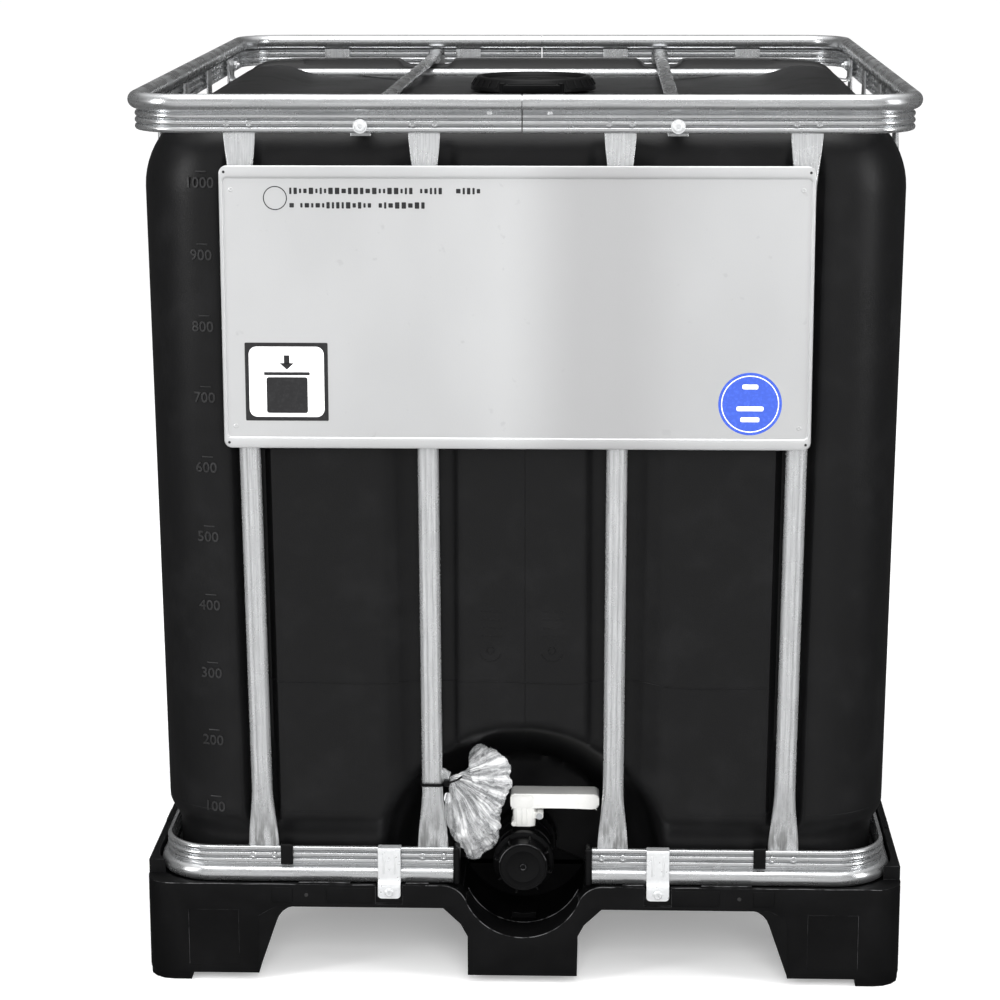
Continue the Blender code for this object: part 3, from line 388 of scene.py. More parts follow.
def add_tube(work, path, radius, steps=12, across=None):
    """A round tube along a path, or an oval one where radius gives pairs along it."""
    across = across or Vector((0.0, 0.0, 1.0))
    rows = []
    for i, point in enumerate(path):
        along = (path[min(i + 1, len(path) - 1)] - path[max(i - 1, 0)]).normalized()
        side = along.cross(across).normalized()
        up = side.cross(along).normalized()
        wide, deep = radius[i] if isinstance(radius, list) else (radius, radius)
        row = []
        for step in range(steps):
            angle = 2 * math.pi * step / steps
            row.append(point + up * wide * math.cos(angle) + side * deep * math.sin(angle))
        rows.append(row)
    loft(work, rows)


# ---------------------------------------------------------------- shader maths


class Value:
    """One value in a shader. Arithmetic on it adds the nodes that work it out."""

    def __init__(self, shader, socket):
        self.shader = shader
        self.socket = socket

    def maths(self, operation, first, second):
        kinds = [v.socket.type for v in (first, second) if isinstance(v, Value)]
        if "VECTOR" in kinds:
            pair = [v if isinstance(v, (Value, tuple)) else (v, v, v) for v in (first, second)]
            return self.shader.node(
                "VectorMath", {"operation": operation}, {0: pair[0], 1: pair[1]}
            )
        return self.shader.node("Math", {"operation": operation}, {0: first, 1: second})

    def __add__(self, other):
        return self.maths("ADD", self, other)

    def __radd__(self, other):
        return self.maths("ADD", other, self)

    def __sub__(self, other):
        return self.maths("SUBTRACT", self, other)

    def __rsub__(self, other):
        return self.maths("SUBTRACT", other, self)

    def __mul__(self, other):
        return self.maths("MULTIPLY", self, other)

    def __rmul__(self, other):
        return self.maths("MULTIPLY", other, self)

    def between(self, low, high, start=0.0, end=1.0):
        """A smooth change from start to end as the value goes from low to high."""
        return self.shader.node(
            "MapRange",
            {"interpolation_type": "SMOOTHSTEP"},
            {"Value": self, 1: low, 2: high, 3: start, 4: end},
        )


class Shader:
    """A material and its nodes."""

    def __init__(self, name, roughness=0.5, metallic=0.0, specular=0.5):
        self.material = bpy.data.materials.new(name)
        self.material.use_nodes = True
        self.nodes = self.material.node_tree.nodes
        self.links = self.material.node_tree.links
        self.surface = self.nodes["Principled BSDF"]
        self.feed(self.surface.inputs["Roughness"], roughness)
        self.feed(self.surface.inputs["Metallic"], metallic)
        self.feed(self.surface.inputs["Specular IOR Level"], specular)

    def feed(self, socket, value):
        """Sets a socket to a value, a colour or another node's output."""
        if isinstance(value, Value):
            self.links.new(value.socket, socket)
        elif socket.type == "RGBA" and len(value) == 3:
            socket.default_value = (*value, 1.0)
        else:
            socket.default_value = value

    def node(self, kind, settings=None, inputs=None, output=0):
        """Any node: its settings first, then its sockets, giving one of its outputs."""
        made = self.nodes.new("ShaderNode" + kind)
        for name, setting in (settings or {}).items():
            setattr(made, name, setting)
        for name, value in (inputs or {}).items():
            self.feed(made.inputs[name], value)
        return Value(self, made.outputs[output])

    def place(self, stretch=(1.0, 1.0, 1.0)):
        """The piece's own coordinates in metres, stretched."""
        spot = self.node("TexCoord", output="Object")
        return spot if stretch == (1.0, 1.0, 1.0) else spot * tuple(stretch)

    def noise(self, scale, detail=3.0, roughness=0.55, stretch=(1.0, 1.0, 1.0)):
        """Noise from 0 to 1; scale is in cells a metre."""
        return self.node(
            "TexNoise",
            {},
            {
                "Vector": self.place(stretch), "Scale": scale, "Detail": detail,
                "Roughness": roughness,
            },
        )

    def mix(self, share, first, second):
        """A colour between two others."""
        return self.node("Mix", {"data_type": "RGBA"}, {0: share, 6: first, 7: second}, output=2)

    def heights(self):
        """The height of each point above the floor."""
        return self.node("SeparateXYZ", {}, {0: self.place()}, output="Z")

    def colour(self, value):
        self.feed(self.surface.inputs["Base Color"], value)

    def rough(self, value):
        self.feed(self.surface.inputs["Roughness"], value)

    def bump(self, height, distance, strength=1.0):
        relief = self.node(
            "Bump", {}, {"Height": height, "Distance": distance, "Strength": strength}
        )
        self.feed(self.surface.inputs["Normal"], relief)


SURFACES = {}


def surface(name):
    """The material of that name, made on first use."""
    if name not in SURFACES:
        SURFACES[name] = MAKERS[name]().material
        SURFACES[name].name = name
    return SURFACES[name]


def zinc(name, stretch, grain, dirt=False, dim=1.0, metal=0.93):
    """Galvanised steel: rolled streaks, dull blotches and, if asked for, dirt low down."""
    colour = tuple(part * dim for part in bpy.context.scene.ibc_cage.colour)
    shader = Shader(name, metallic=metal)
    streak = shader.noise(grain, 5.0, 0.62, stretch)
    blotch = shader.noise(26.0, 4.0, 0.6).between(0.38, 0.68)
    speck = shader.noise(420.0, 2.0, 0.5).between(0.60, 0.74)
    dull = tuple(part * 0.84 for part in colour)
    bright = tuple(min(part * 1.08, 1.0) for part in colour)
    tone = shader.mix(streak.between(0.30, 0.70), dull, bright)
    tone = shader.mix(blotch * 0.12, tone, (0.50, 0.51, 0.52))
    tone = shader.mix(speck * 0.18, tone, (0.30, 0.30, 0.31))
    rough = 0.20 + streak * 0.08 + blotch * 0.10
    if dirt:
        low = shader.heights().between(0.26, 0.155)
        stain = shader.noise(85.0, 4.0, 0.6, (1.6, 1.6, 0.28)).between(0.40, 0.62) * low
        tone = shader.mix(stain * 0.8, tone, (0.085, 0.082, 0.078))
        rough = rough + stain * 0.25
    shader.colour(tone)
    shader.rough(rough)
    shader.bump(streak * 0.7 + speck * -0.4, 0.0003, 0.16)
    return shader


def zinc_upright():
    return zinc("zinc_upright", (1.0, 1.0, 0.035), 520.0, dirt=True, metal=0.80)


def zinc_ring():
    return zinc("zinc_ring", (0.03, 0.03, 1.0), 460.0)


def zinc_rough():
    return zinc("zinc_rough", (1.0, 0.35, 1.0), 240.0, dim=0.62)


def zinc_bright():
    """Plated fasteners and straps."""
    shader = Shader("zinc_bright", metallic=0.62)
    cloud = shader.noise(180.0, 3.0)
    shader.colour(shader.mix(cloud, (0.70, 0.71, 0.72), (0.86, 0.87, 0.88)))
    shader.rough(0.22 + cloud * 0.16)
    shader.bump(cloud, 0.0003, 0.4)
    return shader


def rolled_sheet():
    """The label plate: bright rolled sheet with a faint grain, dull clouds and a painted reflection, a darker
    upright band across its middle.
    """
    shader = Shader("rolled_sheet", metallic=0.72)
    grain = shader.noise(900.0, 3.0, 0.6, (1.0, 1.0, 0.35))
    cloud = shader.noise(3.2, 3.0, 0.5, (1.0, 1.0, 0.55)).between(0.30, 0.72)
    mark = shader.noise(60.0, 2.0, 0.5).between(0.70, 0.78)
    tone = shader.mix(cloud, (0.62, 0.625, 0.63), (0.72, 0.725, 0.73))
    tone = shader.mix(mark * 0.25, tone, (0.45, 0.45, 0.46))
    across = shader.node("SeparateXYZ", {}, {0: shader.place()}, output="X")
    # Painted reflection: a darker upright band down the plate.
    painted_reflection_band = across.between(-0.03, 0.08) * across.between(0.26, 0.12)
    tone = shader.mix(painted_reflection_band * 0.8, tone, (0.52, 0.52, 0.525))
    shader.colour(tone)
    shader.rough(0.34 + grain * 0.10 + cloud * 0.05)
    shader.bump(grain + shader.noise(7.0, 2.0) * 0.8, 0.0003, 0.35)
    return shader


def blown_black():
    """The bottle: fine grain, a slow wave and pale scuffs."""
    settings = bpy.context.scene.ibc_bottle
    shader = Shader("blown_black", specular=0.24)
    colour = tuple(settings.colour)
    grain = shader.noise(1.0 / settings.grain, 2.0, 0.5)
    wave = shader.noise(9.0, 3.0, 0.5)
    scuff = shader.noise(130.0, 5.0, 0.65, (0.5, 0.5, 2.2)).between(0.66, 0.80)
    dust = shader.noise(14.0, 4.0, 0.6).between(0.45, 0.75)
    tone = shader.mix(dust * 0.5, colour, tuple(part * 1.9 for part in colour))
    tone = shader.mix(scuff * 0.3, tone, (0.022, 0.022, 0.023))
    shader.colour(tone)
    shader.rough(0.36 + grain * 0.08 + dust * 0.06)
    shader.bump(grain * 0.16 + wave * 0.9, 0.0016, 0.6)
    return shader


def moulded(name, roughness, scuffs, painted_highlight=0.0):
    """Injection moulded black plastic; the last argument mixes in a paler colour in patches, a painted
    highlight for edges that catch the light.
    """
    settings = bpy.context.scene.ibc_pallet
    shader = Shader(name, specular=0.13)
    colour = tuple(settings.colour)
    grain = shader.noise(520.0, 2.0, 0.5)
    cloud = shader.noise(16.0, 4.0, 0.6)
    scuff = shader.noise(120.0, 5.0, 0.7, (0.25, 0.8, 1.8)).between(0.66, 0.80)
    tone = shader.mix(cloud.between(0.35, 0.7), colour, tuple(part * 1.5 for part in colour))
    tone = shader.mix(scuff * scuffs, tone, (0.028, 0.028, 0.029))
    if painted_highlight:
        # Painted highlight: pale patches for edges that catch the light.
        highlight_patches = shader.noise(70.0, 4.0, 0.6).between(0.36, 0.60)
        tone = shader.mix(highlight_patches * painted_highlight, tone, tuple(settings.wear))
    shader.colour(tone)
    shader.rough(roughness + cloud * 0.12 + grain * 0.05)
    shader.bump(grain * 0.5 + cloud * 0.5, 0.0005, 0.3)
    return shader


# Pale patchy edges: a painted highlight where the moulding catches the light.
def moulded_edge():
    return moulded("moulded_edge", 0.30, 0.1, 0.55)


def figure_black():
    """The raised figures, painted a little paler than the bottle round them: a painted highlight on their
    relief.
    """
    shader = Shader("figure_black", specular=0.5)
    cloud = shader.noise(90.0, 3.0)
    shader.colour(shader.mix(cloud, (0.006, 0.006, 0.006), (0.026, 0.026, 0.027)))
    shader.rough(0.26 + cloud * 0.1)
    return shader


def moulded_pallet():
    return moulded("moulded_pallet", 0.36, 0.18)


def moulded_fitting():
    return moulded("moulded_fitting", 0.30, 0.12)


def white_plastic():
    shader = Shader("white_plastic", specular=0.5)
    colour = tuple(bpy.context.scene.ibc_valve.colour)
    cloud = shader.noise(45.0, 4.0, 0.6)
    grime = shader.noise(240.0, 3.0, 0.6).between(0.60, 0.80)
    tone = shader.mix(cloud.between(0.4, 0.7) * 0.5, colour, tuple(part * 0.88 for part in colour))
    shader.colour(shader.mix(grime * 0.35, tone, (0.45, 0.44, 0.42)))
    shader.rough(0.32 + cloud * 0.14)
    shader.bump(cloud, 0.0005, 0.3)
    shader.surface.inputs["Subsurface Weight"].default_value = 0.08
    shader.surface.inputs["Subsurface Radius"].default_value = (0.004, 0.004, 0.004)
    return shader


def grey_plastic():
    shader = Shader("grey_plastic")
    cloud = shader.noise(300.0, 3.0)
    shader.colour(shader.mix(cloud, (0.30, 0.31, 0.32), (0.42, 0.43, 0.44)))
    shader.rough(0.34 + cloud * 0.1)
    return shader


def seal_rubber():
    shader = Shader("seal_rubber", specular=0.3)
    cloud = shader.noise(200.0, 3.0)
    shader.colour(shader.mix(cloud, (0.010, 0.010, 0.010), (0.024, 0.024, 0.024)))
    shader.rough(0.72 + cloud * 0.12)
    return shader


def printed(name, colour, roughness):
    """A printed or filled label, with the faint mottle of a thin ink."""
    shader = Shader(name, specular=0.45)
    mottle = shader.noise(260.0, 3.0, 0.6)
    faded = tuple(min(part * 1.35 + 0.006, 1.0) for part in colour)
    shader.colour(shader.mix(mottle.between(0.45, 0.8), colour, faded))
    shader.rough(roughness + mottle * 0.12)
    return shader


def ink_black():
    return printed("ink_black", tuple(bpy.context.scene.ibc_plate.ink), 0.42)


def ink_blue():
    return printed("ink_blue", tuple(bpy.context.scene.ibc_plate.disc), 0.30)


def label_white():
    return printed("label_white", (0.80, 0.80, 0.81), 0.34)


def clear_film():
    """Crumpled thin polythene with folds that fan out from where it is tied: painted highlights on the folds
    and painted shade between them.
    """
    shader = Shader("clear_film", specular=0.6)
    centre = tie_spot()
    warp = shader.node("TexNoise", {}, {"Vector": shader.place(), "Scale": 24.0}, output="Color")
    split = shader.place() + (-centre.x - 0.027, 0.0, -centre.z - 0.009) + warp * 0.010
    across = shader.node("SeparateXYZ", {}, {0: split}, output="X")
    up = shader.node("SeparateXYZ", {}, {0: split}, output="Z")
    turn = shader.node("Math", {"operation": "ARCTAN2"}, {0: up, 1: across})
    away = shader.node("VectorMath", {"operation": "LENGTH"}, {0: split}, output="Value")
    spot = shader.node("CombineXYZ", {}, {0: turn * 2.4, 1: away * 17.0, 2: 0.0})
    fan = shader.node("TexNoise", {}, {"Vector": spot, "Scale": 3.4, "Detail": 5.0, "Roughness": 0.62})
    crumple = shader.noise(60.0, 4.0, 0.60)
    fold = fan * 0.72 + crumple * 0.28
    # Painted highlight on the folds and painted shade between them; the film is drawn more opaque where it is
    # painted pale.
    bright = fold.between(0.42, 0.66)
    shader.colour(shader.mix(bright, (0.42, 0.43, 0.44), (0.92, 0.925, 0.93)))
    shader.rough(0.14 + crumple * 0.14)
    shader.feed(shader.surface.inputs["Alpha"], 0.28 + bright * 0.44)
    shader.bump(fold, 0.003, 0.6)
    return shader


def pale_floor():
    shader = Shader("pale_floor", specular=0.2)
    colour = tuple(bpy.context.scene.ibc_stage.floor)
    cloud = shader.noise(1.5, 3.0)
    shader.colour(shader.mix(cloud, colour, tuple(part * 0.985 for part in colour)))
    shader.rough(0.75 + cloud * 0.1)
    shader.feed(shader.surface.inputs["Emission Color"], colour)
    shader.feed(shader.surface.inputs["Emission Strength"], 0.28)
    return shader


DOME = 8.0


def studio_dome():
    """What the shiny surfaces reflect: a lit front and ceiling in an otherwise dark room."""
    shader = Shader("studio_dome", roughness=1.0, specular=0.0)
    shader.colour((0.0, 0.0, 0.0))
    spot = shader.place() * (1 / DOME, 1 / DOME, 1 / DOME)
    along = shader.node("SeparateXYZ", {}, {0: spot}, output="Y")
    up = shader.node("SeparateXYZ", {}, {0: spot}, output="Z")
    front = along.between(-0.55, -0.97) * up.between(-0.75, -0.15, 0.35, 1.0)
    ceiling = up.between(0.52, 0.92)
    level = 0.07 + front * 0.55 + ceiling * 0.85
    tone = shader.mix(level, (0.0, 0.0, 0.0), (1.0, 1.0, 1.0))
    shader.feed(shader.surface.inputs["Emission Color"], tone)
    shader.feed(shader.surface.inputs["Emission Strength"], 1.0)
    return shader


MAKERS = {maker.__name__: maker for maker in (
    zinc_upright, zinc_ring, zinc_rough, zinc_bright, rolled_sheet, blown_black, moulded_pallet,
    moulded_fitting, moulded_edge, figure_black, white_plastic, grey_plastic, seal_rubber,
    ink_black, ink_blue, label_white, clear_film, pale_floor, studio_dome,
)}


# ---------------------------------------------------------------- cage

SPLIT = 0.0008
BAR_INSET = 0.0160
WEB_CREST = 0.0085
WEB_GROOVE = 0.0124
WEB_TOP = 0.0128
RIDGES = 3
WELD_SPREAD = 0.0140
MIDDLE_RIDGE = 0.0253
RING_OPENING = 0.0913
CROSS_Y = middle("cross_tube").y


def ring_section(bead_z, towards, depth):
    """Points (inset, height) round a ring's sheet: the rolled bead, then the ribbed web."""
    settings = bpy.context.scene.ibc_cage
    radius, sheet = settings.bead, settings.sheet
    beads = []
    for size in (radius, radius - sheet):
        turn = arc((radius, 0.0), size, -90, 240, 26)
        beads.append([(2 * radius - a, b) for a, b in turn])
    outer, inner = beads
    web = []
    steps = 14 * RIDGES
    for step in range(steps + 1):
        share = step / steps
        crest = abs(math.sin(math.pi * RIDGES * share)) ** 0.50
        height = -WEB_TOP - (depth - radius - WEB_TOP) * share
        web.append((WEB_GROOVE - (WEB_GROOVE - WEB_CREST) * crest, height))
    back = [(inset + sheet, height) for inset, height in reversed(web)]
    section = outer[::-1] + web + back + inner
    return [(inset, bead_z - towards * height) for inset, height in section]


def ring_path(high, start_x, corners, steps=18):
    """Points with their inward directions, from the front round the given corners."""
    radius = bpy.context.scene.ibc_cage.corner
    first = corners[0][0]
    path = [((first * start_x, -high.y), (0.0, 1.0))]
    for sign_x, sign_y in corners:
        centre = (sign_x * (high.x - radius), sign_y * (high.y - radius))
        leaving = sign_x * sign_y * first > 0
        for step in range(steps + 1):
            part = step / steps
            angle = math.pi / 2 * (1.0 - part if leaving else part)
            out = (sign_x * math.sin(angle), sign_y * math.cos(angle))
            spot = (centre[0] + radius * out[0], centre[1] + radius * out[1])
            path.append((spot, (-out[0], -out[1])))
    last_x, last_y = corners[-1]
    path.append(((last_x * start_x, last_y * high.y), (0.0, -float(last_y))))
    return path


def ring_rows(section, path):
    rows = []
    for spot, inward in path:
        rows.append(
            [
                Vector((spot[0] + inward[0] * inset, spot[1] + inward[1] * inset, height))
                for inset, height in section
            ]
        )
    return rows


def facing(spot, outward):
    """A matrix at a spot whose Z axis points outward."""
    turn = Vector(outward).to_track_quat("Z", "Y").to_matrix().to_4x4()
    return Matrix.Translation(spot) @ turn


WELD = (
    (0.0, -0.0006), (0.0016, -0.0006), (0.0024, 0.0003), (0.0034, 0.0003), (0.0043, -0.0006),
    (0.0042, -0.0016), (0.0, -0.0016),
)
RIVET = (
    (0.0, -0.0004), (0.0012, -0.0004), (0.0015, 0.0012), (0.0026, 0.0012), (0.0034, 0.0002),
    (0.0034, -0.0012), (0.0, -0.0012),
)


def build_rings():
    """Both rings: the top one in two halves that meet at the front and the back."""
    radius = bpy.context.scene.ibc_cage.bead
    section = ring_section(TOP_HIGH.z - radius, -1, TOP_HIGH.z - TOP_LOW.z)
    for side, sign in SIDES.items():
        work = bmesh.new()
        path = ring_path(TOP_HIGH, SPLIT, ((sign, -1), (sign, 1)))
        loft(work, ring_rows(section, path))
        node = f"top_ring_{side}"
        finish(node + "_rolled", work, surface("zinc_ring"), ROOT, "galvanised_steel", (node,), 30)
    section = ring_section(LOWER_LOW.z + radius, 1, LOWER_HIGH.z - LOWER_LOW.z)
    corners = ((-1, -1), (-1, 1), (1, 1), (1, -1))
    work = bmesh.new()
    loft(work, ring_rows(section, ring_path(LOWER_HIGH, RING_OPENING, corners)))
    finish(
        "bottom_ring_rolled", work, surface("zinc_ring"), ROOT, "galvanised_steel",
        ("bottom_ring",), 30,
    )
    rivets = bmesh.new()
    height = TOP_HIGH.z - radius - WEB_TOP + 0.0004
    for side in (-1, 1):
        for x in (-0.0405, 0.0345):
            spot = (x, side * (TOP_HIGH.y - WEB_GROOVE + 0.0014), height)
            revolve(rivets, RIVET, facing(spot, (0, side, 0)), 20)
    finish("ring_rivets", rivets, surface("zinc_bright"), ROOT, "galvanised_steel")
    for side in SIDES:
        node = f"ring_end_cap_{side}"
        work = bmesh.new()
        low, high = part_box(node)
        add_box(work, low, high, 0.0032, 4)
        for rib in range(RIDGES):
            z = low.z + 0.008 + rib * 0.0145
            near = (low.x + 0.002, low.y + 0.0002, z)
            far = (high.x - 0.002, low.y + 0.004, z + 0.006)
            add_box(work, near, far, 0.001)
        finish(node + "_moulded", work, surface("moulded_fitting"), ROOT, "black_moulding", (node,))


def bar_section(centre, across, outward, width, depth, power, groove):
    """A rounded oval with two grooves rolled into both of its broad faces."""
    row = []
    steps = 64
    for step in range(steps):
        angle = 2 * math.pi * (step + 0.5) / steps
        cosine, sine = math.cos(angle), math.sin(angle)
        a = width / 2 * math.copysign(abs(cosine) ** (2 / power), cosine)
        b = depth / 2 * math.copysign(abs(sine) ** (2 / power), sine)
        dent = 0.0
        for line in (-0.19, 0.19):
            dent += math.exp(-(((a - line * width) / (0.055 * width)) ** 2))
        b -= math.copysign(groove * min(dent, 1.0), b)
        row.append(centre + across * a + outward * b)
    return row


BAR_RISES = (
    0.0, 0.003, 0.012, 0.024, 0.032, 0.040, 0.048, 0.056, 0.065, 0.075, 0.086, 0.098, 0.112, 0.130,
    0.160,
)


def add_bar(work, low, high, outward):
    """A cage bar, squeezed flat and fanned out where it is welded to each ring."""
    settings = bpy.context.scene.ibc_cage
    low, high, outward = Vector(low), Vector(high), Vector(outward)
    across = outward.cross(Vector((0, 0, 1)))
    length = high.z - low.z
    rises = list(BAR_RISES) + [length * part for part in (0.3, 0.4, 0.5, 0.6, 0.7)]
    rises += [length - rise for rise in reversed(BAR_RISES)]
    rows = []
    for rise in rises:
        near = min(rise, length - rise)
        share = smooth_step(0.024, 0.128, near)
        width = 0.040 + (settings.bar_width - 0.040) * smooth_step(0.020, 0.105, near)
        depth = 0.0040 + (settings.bar_depth - 0.0040) * share
        power = 5.0 - 2.3 * share
        groove = min(settings.groove, depth * 0.20)
        rows.append(
            bar_section(low.lerp(high, rise / length), across, outward, width, depth, power, groove)
        )
    loft(work, rows)


def bar_ends(side, number):
    """The lower and upper end of a bar, with its outward direction."""
    low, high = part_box(f"{side}_bar_{number}")
    half = 0.020
    if side in ENDS:
        sign = ENDS[side]
        towards = 1 if low.x + high.x > 0 else -1
        outer = high.x - half if towards > 0 else low.x + half
        inner = low.x + half if towards > 0 else high.x - half
        start = (inner, sign * (LOWER_HIGH.y - BAR_INSET), low.z)
        end = (outer, sign * (TOP_HIGH.y - BAR_INSET), high.z)
        return start, end, (0, sign, 0)
    sign = SIDES[side]
    towards = 1 if low.y + high.y > 0 else -1
    outer = high.y - half if towards > 0 else low.y + half
    inner = low.y + half if towards > 0 else high.y - half
    start = (sign * (LOWER_HIGH.x - BAR_INSET), inner, low.z)
    end = (sign * (TOP_HIGH.x - BAR_INSET), outer, high.z)
    return start, end, (sign, 0, 0)


def build_bars():
    """Sixteen upright bars and the weld marks that fix them to both rings."""
    radius = bpy.context.scene.ibc_cage.bead
    for side in (*ENDS, *SIDES):
        welds = bmesh.new()
        for number in range(1, 5):
            node = f"{side}_bar_{number}"
            start, end, outward = bar_ends(side, number)
            work = bmesh.new()
            add_bar(work, start, end, outward)
            finish(node + "_tube", work, surface("zinc_upright"), ROOT, "galvanised_steel", (node,), 50)
            out = Vector(outward)
            across = out.cross(Vector((0, 0, 1)))
            levels = (
                (Vector(end), TOP_HIGH.z - radius - MIDDLE_RIDGE, BAR_INSET - WEB_CREST),
                (Vector(start), LOWER_LOW.z + radius + MIDDLE_RIDGE, BAR_INSET - WEB_CREST),
                (Vector(end), TOP_HIGH.z - radius - MIDDLE_RIDGE, -0.0020),
            )
            for spot, height, forward in levels:
                towards = 1 if forward > 0 else -1
                for shift in (-WELD_SPREAD, WELD_SPREAD):
                    at = spot + across * shift + out * forward
                    at.z = height
                    revolve(welds, WELD, facing(at, out * towards), 16)
        finish(f"{side}_weld_marks", welds, surface("zinc_ring"), ROOT, "galvanised_steel")


def bent_end(reach, run_z, bend_z, tip_z):
    """The outer part of a bent bar: (distance out, height) up to its flattened tip."""
    onward = 1 if tip_z > bend_z else -1
    return (
        (reach - 0.070, run_z),
        (reach - 0.032, run_z + (bend_z - run_z) * 0.6),
        (reach - 0.012, bend_z),
        (reach - 0.003, bend_z + onward * 0.0010),
        (reach, bend_z + onward * 0.0055),
        (reach, tip_z),
    )


def add_bent_bar(work, path, across, widths, depths):
    """A tube along a bent path, wide along one direction and flattened at its ends."""
    stations = [(*spot, width, depth) for spot, width, depth in zip(path, widths, depths)]
    stations = rounded(stations, 0.006, 5)
    pairs = [(width / 2, depth / 2) for _, _, _, width, depth in stations]
    add_tube(work, [Vector(station[:3]) for station in stations], pairs, 20, across)


BOLT_HEAD = (
    (0.0, 0.0014), (0.0026, 0.0014), (0.0030, 0.0034), (0.0050, 0.0035), (0.0066, 0.0028),
    (0.0078, 0.0012), (0.0090, 0.0010), (0.0090, 0.0), (0.0, 0.0),
)
BOLT_SHAFT = ((0.0, 0.0), (0.0029, 0.0), (0.0029, -0.0178), (0.0022, -0.0188), (0.0, -0.0188))
NUT = (
    (0.0, -0.0098), (0.0058, -0.0098), (0.0066, -0.0105), (0.0066, -0.0143), (0.0058, -0.0150),
    (0.0, -0.0150),
)


def add_bolt(work, node, outward, reach):
    """A button-head bolt with a recessed drive, its washer, shaft and nut."""
    centre = middle(node)
    axis = 0 if outward[0] else 1
    centre[axis] = outward[axis] * (reach - WEB_CREST + 0.0003)
    place_at = facing(centre, outward)
    revolve(work, BOLT_HEAD, place_at, 28)
    revolve(work, BOLT_SHAFT, place_at, 20)
    revolve(work, NUT, place_at, 6)


def build_top_bars():
    """The round cross tube and the two flat bars over it, each bolted inside the top ring."""
    low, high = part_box("cross_tube")
    reach = TOP_HIGH.x - BAR_INSET
    half = bent_end(reach, 1.116, low.z + 0.003, high.z)
    path = [(-out, CROSS_Y, height) for out, height in reversed(half)]
    path += [(out, CROSS_Y, height) for out, height in half]
    depth_end = [0.016, 0.014, 0.008, 0.0045, 0.0040, 0.0040]
    width_end = [0.016, 0.017, 0.020, 0.023, 0.024, 0.022]
    work = bmesh.new()
    add_bent_bar(
        work, path, Vector((0, 1, 0)), width_end[::-1] + width_end, depth_end[::-1] + depth_end
    )
    finish("cross_tube_bent", work, surface("zinc_ring"), ROOT, "galvanised_steel", ("cross_tube",), 50)
    depth_end = [0.012, 0.011, 0.007, 0.0045, 0.0040, 0.0040]
    width_end = [0.020, 0.021, 0.024, 0.026, 0.026, 0.026]
    for side in SIDES:
        node = f"top_bar_{side}"
        low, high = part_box(node)
        ends = [middle(f"top_bolt_{end}_{side}").x for end in ENDS]
        reach = TOP_HIGH.y - BAR_INSET
        half = bent_end(reach, 1.133, high.z - 0.0025, low.z)
        path = []
        for sign in (-1, 1):
            for out, height in reversed(half) if sign < 0 else half:
                share = (sign * out / reach + 1) / 2
                path.append((ends[0] + (ends[1] - ends[0]) * share, sign * out, height))
        work = bmesh.new()
        add_bent_bar(
            work, path, Vector((1, 0, 0)), width_end[::-1] + width_end, depth_end[::-1] + depth_end
        )
        finish(node + "_bent", work, surface("zinc_rough"), ROOT, "galvanised_steel", (node,), 50)
    for end, sign in ENDS.items():
        for side in SIDES:
            node = f"top_bolt_{end}_{side}"
            work = bmesh.new()
            add_bolt(work, node, (0, sign, 0), TOP_HIGH.y)
            finish(node + "_button", work, surface("zinc_bright"), ROOT, "galvanised_steel", (node,))
    for side, sign in SIDES.items():
        node = f"cross_bolt_{side}"
        work = bmesh.new()
        add_bolt(work, node, (sign, 0, 0), TOP_HIGH.x)
        finish(node + "_button", work, surface("zinc_bright"), ROOT, "galvanised_steel", (node,))


# ---------------------------------------------------------------- bottle

BAND_TOP = 0.226
BAND_LOW = 0.190
BAND_INSET = 0.014
SHOULDER_Z = 1.040
GROOVE_HALF = 0.017
GROOVE_SLOPE = 0.010
GROOVE_LOW = 0.0190
GROOVE_HIGH = 0.0150
CHANNEL_X = 0.090
CHANNEL_INSET = 0.008
WIDE_SLOPE = 0.055
NECK_RADIUS = 0.0775
NECK_BORE = 0.0705
NECK_TOP = 1.1325
ALCOVE_Z = 0.150
ALCOVE_BACK = 0.415
ALCOVE_BACK_RADIUS = 0.110
ALCOVE_SLOPE = 0.531
RECESS_FLOOR = 1.1225
LANE_FLOOR = 1.0960


LINES = {}


def bar_lines(side):
    """Where a side's bars stand, as (lower, upper) places along it."""
    lines = []
    for number in range(1, 5):
        start, end, _ = bar_ends(side, number)
        axis = 0 if side in ENDS else 1
        lines.append((start[axis], end[axis]))
    return lines


def side_inset(height):
    """How far the flat sides stand back at a height, below the shoulder."""
    inset = BAND_INSET * (1.0 - smooth_step(BAND_LOW, BAND_TOP, height))
    return inset + 0.016 * (max(0.0, 0.125 - height) / 0.0165) ** 2


def groove_inset(side, lines, along, height):
    """The depth of the channels in which the bars lie, and of the panels between them."""
    share = (height - BAR_LOW.z) / (BAR_HIGH.z - BAR_LOW.z)
    depth = GROOVE_LOW + (GROOVE_HIGH - GROOVE_LOW) * share
    inset = 0.0
    for low, high in lines:
        centre = low + (high - low) * share
        away = along - centre
        slope = GROOVE_SLOPE
        inner = side in ENDS and abs(centre) < 0.2
        if inner and away * centre > 0:
            slope = WIDE_SLOPE
        gap = abs(away) - GROOVE_HALF
        inset = max(inset, depth * (1.0 - smooth_step(0.0, slope, gap)))
    if side in ENDS and abs(along) < 0.115:
        wall = 1.0 - smooth_step(CHANNEL_X - 0.010, CHANNEL_X, abs(along))
        inset = max(CHANNEL_INSET, depth * (1.0 - wall) + CHANNEL_INSET * wall)
    return inset


def alcove_depth(x, z):
    """How far forward the recess round the outlet lets the bottle's front come."""
    radius = math.hypot(x, z - ALCOVE_Z)
    return ALCOVE_BACK + max(0.0, radius - ALCOVE_BACK_RADIUS) / ALCOVE_SLOPE


